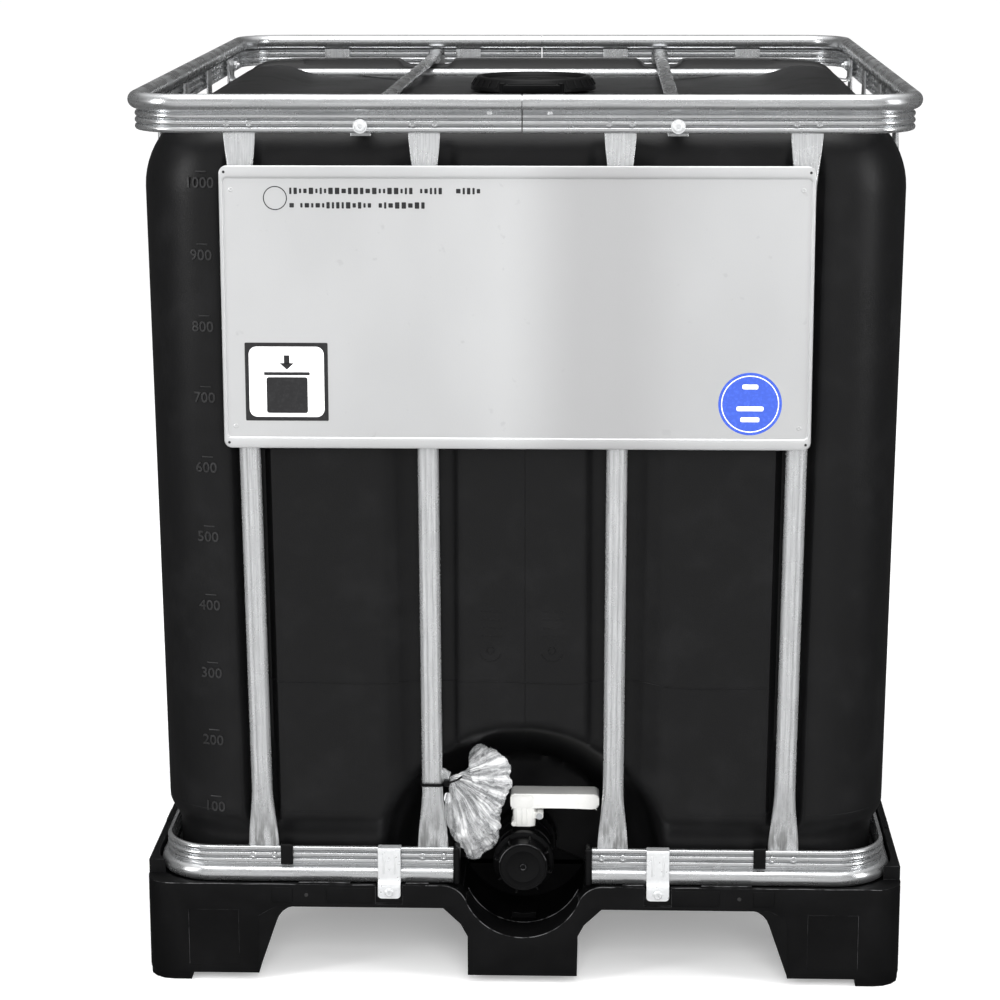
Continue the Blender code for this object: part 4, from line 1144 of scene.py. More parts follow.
def top_height(x, y):
    """The bottle's top, with its recess round the lid and the lanes for the tubes."""
    fall = smooth_step(-0.30, 0.22, y) * (1.0 - smooth_step(0.43, 0.47, y))
    top = BOTTLE_HIGH.z - 0.0185 * fall * (1.0 - smooth_step(0.33, 0.41, abs(x)))
    floors = (
        (-0.231, 0.221, -0.700, CROSS_Y - 0.020, RECESS_FLOOR),
        (-0.217, -0.146, CROSS_Y - 0.050, 0.700, RECESS_FLOOR),
        (0.165, 0.219, CROSS_Y - 0.050, 0.700, RECESS_FLOOR),
        (-0.700, 0.700, CROSS_Y - 0.026, CROSS_Y + 0.026, LANE_FLOOR),
    )
    height = top
    for low_x, high_x, low_y, high_y, floor in floors:
        outside = max(low_x - x, x - high_x, low_y - y, y - high_y, 0.0)
        height = soft_min(height, floor + outside * 1.5, 0.006)
    return height


def outline_stations():
    """Places round the bottle: (side, share along it) on the flats, then each corner's angles."""
    each = bpy.context.scene.ibc_bottle.columns
    stations = []
    plan = (("front", 1.30, -90), ("right", 1.0, 0), ("back", 0.8, 90), ("left", 1.0, 180))
    for side, density, start in plan:
        length = 0.77 if side in ENDS else 0.97
        count = int(length * each * density)
        stations += [("flat", side, -1 + 2 * (i + 0.5) / count) for i in range(count)]
        stations += [("corner", side, start + 90 * i / 14) for i in range(15)]
    return stations


SIDE_FRAME = {
    "front": (Vector((1, 0)), Vector((0, -1))),
    "right": (Vector((0, 1)), Vector((1, 0))),
    "back": (Vector((-1, 0)), Vector((0, 1))),
    "left": (Vector((0, -1)), Vector((-1, 0))),
}


def bottle_halves(height):
    share = min(max((height - BAND_LOW) / (SHOULDER_Z - BAND_LOW), 0.0), 1.0)
    return Vector((0.4765 + 0.0100 * share, 0.5765 + 0.0020 * share))


def bottle_spot(station, height, inset, grooved=True):
    """A point on the bottle's side at a height."""
    kind, side, value = station
    settings = bpy.context.scene.ibc_bottle
    halves = bottle_halves(height)
    along_way, out_way = SIDE_FRAME[side]
    half_along = abs(along_way.dot(halves))
    half_out = abs(out_way.dot(halves))
    if kind == "flat":
        along = value * (half_along - settings.corner)
        depth = inset
        if grooved and height > BAND_LOW:
            fade = smooth_step(BAND_LOW, BAND_TOP, height)
            axis_along = along if side in ("front", "right") else -along
            groove = groove_inset(side, LINES[side], axis_along, height) * fade
            depth = -soft_min(-inset, -groove, 0.004)
        spot = along_way * along + out_way * (half_out - depth)
    else:
        radius = max(settings.corner - inset, 0.012)
        centre = along_way * (half_along - inset - radius) + out_way * (half_out - inset - radius)
        angle = math.radians(value)
        spot = centre + Vector((math.cos(angle), math.sin(angle))) * radius
    x, y = spot
    if y < -0.30 and height < 0.40:
        y = -soft_min(-y, alcove_depth(x, height), 0.010)
    return Vector((x, y, height))


def bottle_rows(stations):
    """The bottle's outside, from its bottom up the sides and over the top to the neck."""
    heights = [0.1100, 0.1140, 0.1190, 0.1260]
    heights += [0.1260 + 0.0080 * i for i in range(1, 9)]
    heights += [0.1925 + 0.0045 * i for i in range(9)]
    heights += [0.2370 + 0.0090 * i for i in range(14)]
    heights += [0.3700 + 0.0310 * i for i in range(22)]
    rows = [[bottle_spot(s, BOTTLE_LOW.z, side_inset(BOTTLE_LOW.z), False) for s in stations]]
    for height in heights:
        rows.append([bottle_spot(s, height, side_inset(height)) for s in stations])
    rise, reach = BOTTLE_HIGH.z - SHOULDER_Z, bpy.context.scene.ibc_bottle.shoulder
    full = BOTTLE_HIGH.z - 0.004
    for step in range(17):
        angle = math.pi / 2 * step / 16
        height = SHOULDER_Z + soft_min(reach * math.sin(angle), rise, 0.014)
        inset = reach * (1 - math.cos(angle))
        row = []
        for station in stations:
            spot = bottle_spot(station, height, inset)
            share = 0.45 * smooth_step(-0.50, -0.30, spot.y) * smooth_step(0.30, 0.46, abs(spot.x))
            raised = height + (full - height) * share * smooth_step(0.0, 0.035, inset)
            spot.z = soft_min(raised, top_height(spot.x, spot.y), 0.004)
            row.append(spot)
        rows.append(row)
    edge = rows[-1]
    count = 44
    for step in range(1, count + 1):
        share = step / count
        row = []
        for spot in edge:
            flat = Vector((spot.x, spot.y))
            neck = flat.normalized() * (NECK_RADIUS + 0.0015)
            place_at = flat.lerp(neck, share)
            height = top_height(place_at.x, place_at.y)
            row.append(Vector((place_at.x, place_at.y, height)))
        rows.append(row)
    return rows


def ring_row(stations_row, radius, height):
    row = []
    for spot in stations_row:
        flat = Vector((spot.x, spot.y)).normalized() * radius
        row.append(Vector((flat.x, flat.y, height)))
    return row


def build_bottle():
    """The blow-moulded bottle, with its neck, its inside and its moulded marks."""
    for side in (*ENDS, *SIDES):
        LINES[side] = bar_lines(side)
    work = bmesh.new()
    stations = outline_stations()
    rows = bottle_rows(stations)
    last = rows[-1]
    base = rows[-1][0].z
    for radius, height in (
        (NECK_RADIUS, base + 0.0012), (NECK_RADIUS, NECK_TOP - 0.0010), (NECK_RADIUS - 0.001, NECK_TOP),
        (NECK_BORE + 0.001, NECK_TOP), (NECK_BORE, NECK_TOP - 0.0010), (NECK_BORE, 1.1090),
    ):
        rows.append(ring_row(last, radius, height))
    for inset, height in ((0.10, 1.0900), (0.10, 0.1500)):
        row = []
        for spot in rows[0]:
            x = min(max(spot.x, -0.40), 0.40)
            y = min(max(spot.y, -0.385), 0.355)
            row.append(Vector((x * (1 - inset * 0.1), y, height)))
        rows.append(row)
    floor = []
    for share in (0.5, 0.25):
        floor.append([Vector((p.x * share, p.y * share, BOTTLE_LOW.z)) for p in rows[0]])
    loft(work, floor[::-1] + rows)
    finish("bottle_blown", work, surface("blown_black"), ROOT, "bottle_black", ("bottle",), 50)
    build_spout()
    build_marks()


def build_spout():
    work = bmesh.new()
    place_at = Matrix.Translation((0, 0, VALVE_Z)) @ Matrix.Rotation(math.pi / 2, 4, "X")
    spout = (
        (0.0, ALCOVE_BACK - 0.004), (0.0250, ALCOVE_BACK - 0.004), (0.0250, 0.4392), (0.0256, 0.4398),
        (0.0294, 0.4398), (0.0300, 0.4392), (0.0300, 0.4330), (0.0292, 0.4318), (0.0300, 0.4300),
        (0.0300, ALCOVE_BACK + 0.006), (0.0330, ALCOVE_BACK - 0.001), (0.0, ALCOVE_BACK - 0.006),
    )
    revolve(work, spout, place_at, 64)
    finish("bottle_spout", work, surface("blown_black"), ROOT, "bottle_black")


def front_surface(x, z, proud=0.0003):
    """A point just proud of the bottle's front face."""
    halves = bottle_halves(z)
    depth = side_inset(z)
    corner = bpy.context.scene.ibc_bottle.corner
    past = abs(x) - (halves.x - corner)
    if past <= 0:
        groove = groove_inset("front", LINES["front"], x, z) * smooth_step(BAND_LOW, BAND_TOP, z)
        depth = -soft_min(-depth, -groove, 0.004)
    y = halves.y - depth
    if past > 0:
        radius = corner - depth
        y = halves.y - corner + math.sqrt(max(radius**2 - past**2, 0.0))
    return Vector((x, -min(y, alcove_depth(x, z)) - proud, z))


def raised_text(words, height):
    """The mesh outline of some figures, as a closed flat solid."""
    curve = bpy.data.curves.new("figures", "FONT")
    curve.body = words
    curve.size = height
    curve.align_x = "CENTER"
    curve.extrude = 0.0006
    curve.bevel_depth = 0.0002
    curve.resolution_u = 3
    item = bpy.data.objects.new("figures", curve)
    bpy.context.scene.collection.objects.link(item)
    mesh = evaluated_mesh(item)
    bpy.data.objects.remove(item, do_unlink=True)
    return mesh


def build_marks():
    """Figures up the left of the front, the parting lines and two plain moulded dials."""
    work = bmesh.new()
    x = -0.405
    for litres in range(100, 1001, 100):
        z = 0.1440 + 0.0912 * litres / 100
        mesh = raised_text(str(litres), 0.0190)
        for vertex in mesh.vertices:
            a, b, proud = vertex.co
            vertex.co = front_surface(x + a, z - 0.0088 + b, proud + 0.0003)
        work.from_mesh(mesh)
        bpy.data.meshes.remove(mesh)
        path = [front_surface(x + shift, z + 0.0114, 0.0) for shift in (-0.005, -0.001, 0.002, 0.006, 0.009)]
        add_tube(work, path, 0.0009, 8)
    finish("bottle_figures", work, surface("figure_black"), ROOT, "bottle_black")
    lines = bmesh.new()
    steps = 150
    wavy = []
    for step in range(steps + 1):
        x = -0.365 + 0.690 * step / steps
        bend = noise.noise(Vector((x * 9.0, 0.3, 0.0))) * 0.0035 + 0.004 * smooth_step(0.12, 0.20, x)
        wavy.append(front_surface(x, 0.404 - bend, 0.0))
    add_tube(lines, wavy, 0.0008, 8)
    add_tube(lines, [front_surface(0.003, 0.300 + 0.012 * i, 0.0) for i in range(60)], 0.0005, 8)
    for low, high in ((-0.455, -0.375), (-0.340, -0.215), (0.215, 0.335), (0.372, 0.455)):
        path = []
        for step in range(25):
            x = low + (high - low) * step / 24
            path.append(front_surface(x, BAND_TOP + 0.002 + 0.003 * (abs(x) - 0.3), 0.0))
        add_tube(lines, path, 0.0006, 8)
    for x in (-0.042, 0.038):
        for radius, start, end in ((0.0145, 200, 340), (0.0045, 0, 360)):
            path = []
            for a, b in arc((x, 0.447), radius, start, end, 28):
                path.append(front_surface(a, b, 0.0))
            add_tube(lines, path, 0.0006, 6)
        for level in range(4):
            for dash in range(5):
                a = x - 0.012 + 0.006 * dash
                b = 0.466 + 0.011 * level
                add_tube(lines, [front_surface(a, b, 0.0), front_surface(a + 0.0035, b, 0.0)], 0.0005, 6)
    finish("bottle_parting_lines", lines, surface("blown_black"), ROOT, "bottle_black")


# ---------------------------------------------------------------- pallet

TROUGH_Z = 0.143
TROUGH_RADIUS = 0.080
TROUGH_FILLET = 0.034
BOWL_FLOOR = 0.055
RIM_Z = 0.134
FRONT_TABS = ((-0.294, -0.226), (-0.153, -0.123), (0.131, 0.160), (0.234, 0.300))


def carved_copy(node, work, edge):
    """A bmesh of a CAD node with the solids of another bmesh cut out and the edges rounded."""
    plain = bpy.data.meshes.new("plain")
    source = bmesh.new()
    source.from_mesh(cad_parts[node].data)
    bmesh.ops.remove_doubles(source, verts=source.verts, dist=0.00002)
    source.to_mesh(plain)
    source.free()
    shapes = []
    bmesh.ops.recalc_face_normals(work, faces=work.faces)
    cutter = bpy.data.meshes.new("cutter")
    work.to_mesh(cutter)
    work.free()
    for mesh in (plain, cutter):
        item = bpy.data.objects.new(mesh.name, mesh)
        bpy.context.scene.collection.objects.link(item)
        shapes.append(item)
    modifier = shapes[0].modifiers.new("Cut", "BOOLEAN")
    modifier.object = shapes[1]
    modifier.solver = "EXACT"
    cut = evaluated_mesh(shapes[0])
    for item in shapes:
        bpy.data.objects.remove(item, do_unlink=True)
    made = bmesh.new()
    made.from_mesh(cut)
    bpy.data.meshes.remove(cut)
    return round_edges(made, edge)


def round_edges(work, edge, segments=3, angle=30.0):
    """Merges a bmesh's flat faces and rounds its sharp edges."""
    bmesh.ops.remove_doubles(work, verts=work.verts, dist=0.00002)
    bmesh.ops.dissolve_limit(
        work, angle_limit=math.radians(1.0), verts=work.verts, edges=work.edges
    )
    limit = math.radians(angle)
    sharp = [e for e in work.edges if len(e.link_faces) == 2 and e.calc_face_angle() > limit]
    # The new edge faces take the second material, which paints a highlight on them.
    bmesh.ops.bevel(
        work, geom=sharp, offset=edge, segments=segments, affect="EDGES", profile=0.5,
        clamp_overlap=True, material=1,
    )
    return work


def build_pallet():
    """The moulded pallet with its rounded trough, drain, rim tabs and foot panels."""
    cutters = bmesh.new()
    reach = TROUGH_RADIUS + TROUGH_FILLET
    drop = TROUGH_Z - RIM_Z + TROUGH_FILLET
    centre_x = math.sqrt(reach**2 - drop**2)
    centre_z = RIM_Z - TROUGH_FILLET
    start = 180 - math.degrees(math.asin(drop / reach))
    turn = turn_outline((0.0, 0.0, 0.0))
    for sign in (-1, 1):
        fillet = arc((centre_x, centre_z), TROUGH_FILLET, start, 90, 10)
        outline = fillet + [(centre_x, 0.170), (0.050, 0.170), (0.050, 0.125)]
        add_prism(cutters, [(sign * a, b) for a, b in outline], 0.540, 0.620, turn)
    add_box(cutters, (-0.017, -0.535, BOWL_FLOOR - 0.006), (0.015, -0.486, BOWL_FLOOR + 0.02))
    for sign in (-1, 1):
        for side in (-1, 1):
            low, high = sorted((sign * 0.374, sign * 0.440))
            near, far = sorted((side * (PALLET_HIGH.y - 0.0010), side * 0.62))
            add_box(cutters, (low, near, 0.022), (high, far, 0.098))
            low, high = sorted((side * 0.500, side * 0.560))
            near, far = sorted((sign * (PALLET_HIGH.x - 0.0022), sign * 0.52))
            add_box(cutters, (near, low, 0.022), (far, high, 0.078))
    for side in (-1, 1):
        near, far = sorted((side * (PALLET_HIGH.x - 0.0022), side * 0.52))
        add_box(cutters, (near, -0.052, 0.022), (far, 0.052, 0.084))
    add_box(cutters, (-0.052, PALLET_HIGH.y - 0.0022, 0.022), (0.052, 0.62, 0.084))
    work = carved_copy("pallet", cutters, bpy.context.scene.ibc_pallet.edge)
    # The rounded edges keep the painted highlight, except low down and at the ends.
    for face in work.faces:
        spot = face.calc_center_median()
        if face.material_index and (spot.z < 0.055 or abs(spot.x) > 0.490):
            face.material_index = 0
    finish(
        "pallet_moulded", work, (surface("moulded_pallet"), surface("moulded_edge")), ROOT,
        "black_moulding", ("pallet",),
    )
    build_bowl()
    build_rubbed_edges()
    extras = bmesh.new()
    front = -PALLET_HIGH.y
    for low, high in FRONT_TABS:
        add_box(extras, (low, front + 0.0006, RIM_Z - 0.004), (high, front + 0.0070, RIM_Z + 0.003), 0.001)
    for low, high in ((-0.040, -0.019), (0.019, 0.052)):
        add_box(extras, (low, -0.540, BOWL_FLOOR - 0.002), (high, -0.470, BOWL_FLOOR + 0.008), 0.0025)
    for sign in (-1, 1):
        for y in (-0.38, -0.24, 0.0, 0.24, 0.38):
            low, high = sorted((sign * (PALLET_HIGH.x - 0.0060), sign * (PALLET_HIGH.x - 0.0004)))
            add_box(extras, (low, y - 0.022, 0.146), (high, y + 0.022, PALLET_HIGH.z + 0.003), 0.0012)
        for side in (-1, 1):
            face = side * PALLET_HIGH.y
            inside = [(sign * a, b) for a, b in FOOT_SLOPE]
            low, high = sorted((face - side * 0.0006, side * 0.4800))
            add_prism(extras, inside, -high, -low, turn)
            near, far = sorted((face - side * 0.002, face + side * 0.0009))
            for start, end in ((0.196, 0.258), (0.302, 0.330)):
                low, high = sorted((sign * start, sign * end))
                add_box(extras, (low, near, 0.1085), (high, far, 0.1300), 0.0008)
    finish("pallet_fittings", extras, surface("moulded_pallet"), ROOT, "black_moulding")


BOWL_SHELL = (
    (-0.4790, 0.0905), (-0.4160, 0.0905), (-0.4160, 0.001), (-0.4180, 0.001), (-0.4180, 0.0882),
    (-0.4790, 0.0882),
)


def build_bowl():
    """The closed shell under the outlet that stands in for the pallet's bowl behind its foot."""
    work = bmesh.new()
    rows = []
    for y, radius in BOWL_SHELL:
        rows.append([Vector((a, y, b)) for a, b in arc((0.0, TROUGH_Z), radius, 204, 336, 40)])
    loft(work, rows + [rows[0]], (False, False), around=False)
    for i in (0, 40):
        work.faces.new(end_row(work, rows, i))
    bmesh.ops.remove_doubles(work, verts=work.verts, dist=0.00001)
    finish("pallet_bowl", work, surface("moulded_pallet"), ROOT, "black_moulding")


def end_row(work, rows, index):
    """The vertices at one end of each row of an open loft."""
    work.verts.ensure_lookup_table()
    width = len(rows[0])
    return [work.verts[row * width + index] for row in range(len(rows))]


FOOT_SLOPE = (
    (0.3480, 0.0120), (0.3235, 0.0830), (0.3205, 0.0900), (0.3155, 0.0965), (0.3085, 0.1015),
    (0.3000, 0.1036), (0.3500, 0.1036), (0.3500, 0.0120),
)
RIM_RUNS = (
    (-0.470, -0.297, 0.0), (-0.294, -0.226, 0.003), (-0.223, -0.196, 0.0), (-0.153, -0.123, 0.003),
    (0.131, 0.158, 0.003), (0.200, 0.231, 0.0), (0.234, 0.300, 0.003), (0.303, 0.470, 0.0),
)


def build_rubbed_edges():
    """Thin pale lines along the trough and the rim: painted highlights where the moulding catches the light.
    """
    reach = TROUGH_RADIUS + TROUGH_FILLET
    drop = TROUGH_Z - RIM_Z + TROUGH_FILLET
    centre_x = math.sqrt(reach**2 - drop**2)
    tilt = math.degrees(math.asin(drop / reach))
    bend = arc((centre_x, RIM_Z - TROUGH_FILLET), TROUGH_FILLET, 90, 180 - tilt, 12)
    round_part = arc((0.0, TROUGH_Z), TROUGH_RADIUS, 180 + tilt, 360 - tilt, 40)
    outline = [(-0.127, RIM_Z)] + [(-a, b) for a, b in bend] + round_part[1:-1]
    outline += bend[::-1] + [(0.127, RIM_Z)]
    work = bmesh.new()
    front = -PALLET_HIGH.y
    add_tube(work, [Vector((a, front + 0.0002, b)) for a, b in outline], 0.0006, 6)
    inner = arc((0.0, TROUGH_Z), TROUGH_RADIUS, 204, 336, 36)
    add_tube(work, [Vector((a, -0.5400, b)) for a, b in inner], 0.0006, 6)
    for start, end, rise in RIM_RUNS:
        spots = []
        for step in range(9):
            a = start + (end - start) * step / 8
            spots.append(Vector((a, front + 0.0004, RIM_Z + rise + 0.0003 * math.sin(a * 90))))
        add_tube(work, spots, 0.0005, 6)
    finish("pallet_painted_edge_highlights", work, surface("moulded_edge"), ROOT, "black_moulding")
    holes = bmesh.new()
    for x in (-0.284, 0.284):
        revolve(holes, HOLE, facing((x, front, 0.1195), (0, -1, 0)), 20)
    finish("pallet_screw_holes", holes, surface("seal_rubber"), ROOT, "black_moulding")


HOLE = ((0.0, 0.0002), (0.0024, 0.0002), (0.0026, 0.0), (0.0026, -0.002), (0.0, -0.002))


# ---------------------------------------------------------------- lid


def build_lid():
    """The screw lid, dished on top, with skirt ribs and a grip block between two posts."""
    top, low = LID_HIGH.z, LID_LOW.z
    skirt = LID_HIGH.x
    profile = [
        (0.0, top - 0.0062), (0.012, top - 0.0062), (0.0135, top - 0.0052), (0.0150, top - 0.0062),
        (0.050, top - 0.0060), (0.0515, top - 0.0050), (0.0530, top - 0.0060),
        (0.0718, top - 0.0060), (0.0745, top - 0.0008), (0.0755, top - 0.0002), (0.0795, top - 0.0002),
        (0.0810, top - 0.0010), (0.0822, top - 0.0030), (skirt - 0.0012, low + 0.0060),
        (skirt, low + 0.0040), (skirt, low + 0.0006), (skirt - 0.0006, low),
        (0.0787, low), (0.0786, 1.1352), (0.0, 1.1352),
    ]
    work = bmesh.new()
    revolve(work, profile, steps=128)
    finish("lid_disc", work, surface("moulded_fitting"), "lid", "black_fitting", ("lid",), 32)
    ribs = bmesh.new()
    for number in range(36):
        angle = 2 * math.pi * (number + 0.5) / 36
        if math.cos(angle - 1.5 * math.pi) > 0.83:
            continue
        out = Vector((math.cos(angle), math.sin(angle), 0.0))
        path = [
            out * 0.0832 + Vector((0, 0, top - 0.0035)),
            out * (skirt - 0.0012) + Vector((0, 0, low + 0.0062)),
        ]
        add_tube(ribs, path, 0.0011, 8)
    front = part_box("lid")[0].y
    add_box(ribs, (-0.041, front, low + 0.001), (0.041, -0.079, top - 0.0062), 0.0016)
    add_box(ribs, (-0.034, front + 0.003, top - 0.0075), (0.034, -0.086, top - 0.0048), 0.0008)
    for sign in (-1, 1):
        post = ((0.0, -0.0020), (0.0040, -0.0020), (0.0045, -0.0026), (0.0045, -0.0180), (0.0, -0.0180))
        revolve(ribs, post, Matrix.Translation((sign * 0.041, front + 0.0045, top - 0.0020)), 24)
    finish("lid_grips", ribs, surface("moulded_fitting"), "lid", "black_fitting", (), 32)
    neck = bmesh.new()
    path = []
    for step in range(145):
        angle = 2 * math.pi * step / 72
        height = 1.1240 + 0.0060 * step / 144
        path.append(Vector((0.07765 * math.cos(angle), 0.07765 * math.sin(angle), height)))
    add_tube(neck, path, 0.0006, 6)
    finish("bottle_neck_thread", neck, surface("blown_black"), ROOT, "bottle_black")


# ---------------------------------------------------------------- outlet valve

FORWARD = Matrix.Rotation(math.pi / 2, 4, "X")


def outlet_axis():
    """The matrix that stands a turned profile on the outlet's axis, facing forward."""
    return Matrix.Translation((0.0, 0.0, VALVE_Z)) @ FORWARD


def build_valve():
    """The union nut and the valve body, with its flanges, stem boss and spigot thread."""
    work = bmesh.new()
    low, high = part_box("valve_union_nut")
    near, far = -high.y, -low.y
    outer = high.x
    profile = [
        (0.0308, near), (outer - 0.0020, near), (outer - 0.0012, near + 0.0012),
        (outer - 0.0012, far - 0.0012), (outer - 0.0020, far), (0.0334, far), (0.0334, far - 0.0045),
        (0.0366, far - 0.0045), (0.0366, near + 0.0160), (0.0308, near + 0.0160),
    ]
    revolve(work, profile, outlet_axis(), 96)
    for number in range(24):
        turn = outlet_axis() @ Matrix.Rotation(2 * math.pi * number / 24, 4, "Z")
        outline = [
            (outer - 0.0020, -0.0016), (outer - 0.0001, -0.0008), (outer - 0.0001, 0.0008),
            (outer - 0.0020, 0.0016),
        ]
        add_prism(work, outline, near + 0.0020, far - 0.0020, turn)
    finish(
        "valve_union_nut_ribbed", work, surface("moulded_fitting"), ROOT, "black_fitting",
        ("valve_union_nut",),
    )
    body = bmesh.new()
    low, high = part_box("valve_body")
    near, far = -high.y, -low.y
    profile = [
        (0.0240, near), (0.0360, near), (0.0360, near + 0.0040), (0.0325, near + 0.0040),
        (0.0325, 0.4600), (0.0350, 0.4600), (0.0376, 0.4614), (0.0385, 0.4640), (0.0385, 0.4700),
        (0.0372, 0.4712), (0.0372, 0.4860), (0.0385, 0.4872), (0.0385, 0.5030), (0.0372, 0.5042),
        (0.0372, 0.5160), (0.0385, 0.5172), (0.0385, 0.5215), (0.0376, 0.5250), (0.0345, 0.5270),
        (0.0296, 0.5270), (0.0289, 0.5310), (0.0295, 0.5322), (0.0295, 0.5340), (0.0287, 0.5352),
        (0.0287, 0.5380), (0.0295, 0.5392), (0.0295, 0.5410), (0.0287, 0.5422), (0.0287, 0.5455),
        (0.0291, far - 0.0006), (0.0285, far), (0.0244, far), (0.0240, far - 0.0004), (0.0240, 0.5140),
        (0.0280, 0.5080), (0.0306, 0.4950), (0.0280, 0.4820), (0.0240, 0.4760),
    ]
    revolve(body, profile, outlet_axis(), 96)
    boss = [
        (0.0085, 0.1775), (0.0165, 0.1775), (0.0165, high.z - 0.0040), (0.0172, high.z - 0.0034),
        (0.0172, high.z - 0.0008), (0.0166, high.z), (0.0110, high.z), (0.0110, high.z - 0.0030),
        (0.0085, high.z - 0.0030),
    ]
    revolve(body, boss, Matrix.Translation((0.0, STEM_Y, 0.0)), 64)
    for sign in (-1, 1):
        for y in (-0.4770, -0.5110):
            low, high_ = sorted((sign * 0.0150, sign * 0.0180))
            add_box(body, (low, y - 0.0012, 0.1700), (high_, y + 0.0012, 0.1835), 0.0005)
        for z in (0.1330, 0.1590):
            low, high_ = sorted((sign * 0.0340, sign * 0.0382))
            add_box(body, (low, -0.5210, z - 0.0012), (high_, -0.4650, z + 0.0012), 0.0005)
    finish(
        "valve_body_turned", body, surface("moulded_fitting"), ROOT, "black_fitting", ("valve_body",)
    )
    build_cap()
    build_lever()


def build_cap():
    """The dust cap: a dished face with a centre boss, grip ribs and a segmented rear flange."""
    settings = bpy.context.scene.ibc_valve
    low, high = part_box("outlet_cap")
    near, far = -high.y, -low.y
    radius = settings.cap_radius
    flange = high.x
    profile = [
        (0.0, far - 0.0016), (0.0018, far - 0.0016), (0.0026, far - 0.0004), (0.0046, far - 0.0004),
        (0.0056, far - 0.0022), (0.0200, far - 0.0020), (0.0215, far - 0.0014), (0.0230, far - 0.0020),
        (radius - 0.0034, far - 0.0018), (radius - 0.0026, far - 0.0002), (radius - 0.0012, far),
        (radius - 0.0002, far - 0.0010), (radius + 0.0014, near + 0.0046), (flange - 0.0014, near + 0.0034),
        (flange - 0.0002, near + 0.0026), (flange, near + 0.0016), (flange - 0.0002, near + 0.0004),
        (flange - 0.0008, near), (0.0302, near), (0.0302, far - 0.0031), (0.0, far - 0.0031),
    ]
    work = bmesh.new()
    revolve(work, profile, outlet_axis(), 128)
    for number in range(settings.ribs):
        turn = outlet_axis() @ Matrix.Rotation(math.radians(31 + 360 / settings.ribs * number), 4, "Z")
        outline = [
            (radius - 0.0020, -0.0016), (radius + 0.0045, -0.0011), (radius + 0.0050, 0.0),
            (radius + 0.0045, 0.0011), (radius - 0.0020, 0.0016),
        ]
        add_prism(work, outline, near + 0.0010, far - 0.0042, turn, 0.0004)
        start = 31 + 360 / settings.ribs * number + 8
        for rise in (0.0, 0.0026):
            ridge = [
                Vector((a, b, near + 0.0052 + rise))
                for a, b in arc((0, 0), radius + 0.0018 - rise * 0.2, start, start + 29, 14)
            ]
            add_tube(work, [outlet_axis() @ spot for spot in ridge], 0.0006, 6)
    finish(
        "outlet_cap_turned", work, surface("moulded_fitting"), "outlet_cap", "black_fitting",
        ("outlet_cap",),
    )
    # Thin pale lines on the upper rim, round the centre boss and on the rib tips: painted highlights where
    # the cap catches the light.
    painted_highlight = bmesh.new()
    for size, start, end, reach in ((radius - 0.0013, 18, 168, 0.0001), (0.0037, 0, 360, 0.0005)):
        spots = [Vector((a, b, far - reach)) for a, b in arc((0, 0), size, start, end, 40)]
        add_tube(painted_highlight, [outlet_axis() @ spot for spot in spots], 0.00045, 6)
    for number in range(settings.ribs):
        angle = math.radians(31 + 360 / settings.ribs * number)
        out = Vector((math.cos(angle), math.sin(angle), 0.0))
        spots = [out * (radius + 0.0046) + Vector((0, 0, far - 0.0048 - 0.0030 * part)) for part in (0, 1)]
        add_tube(painted_highlight, [outlet_axis() @ spot for spot in spots], 0.0007, 8, out.cross(Vector((0, 0.3, 1))))
    finish("outlet_cap_highlight_lines", painted_highlight, surface("moulded_edge"), "outlet_cap", "black_fitting")


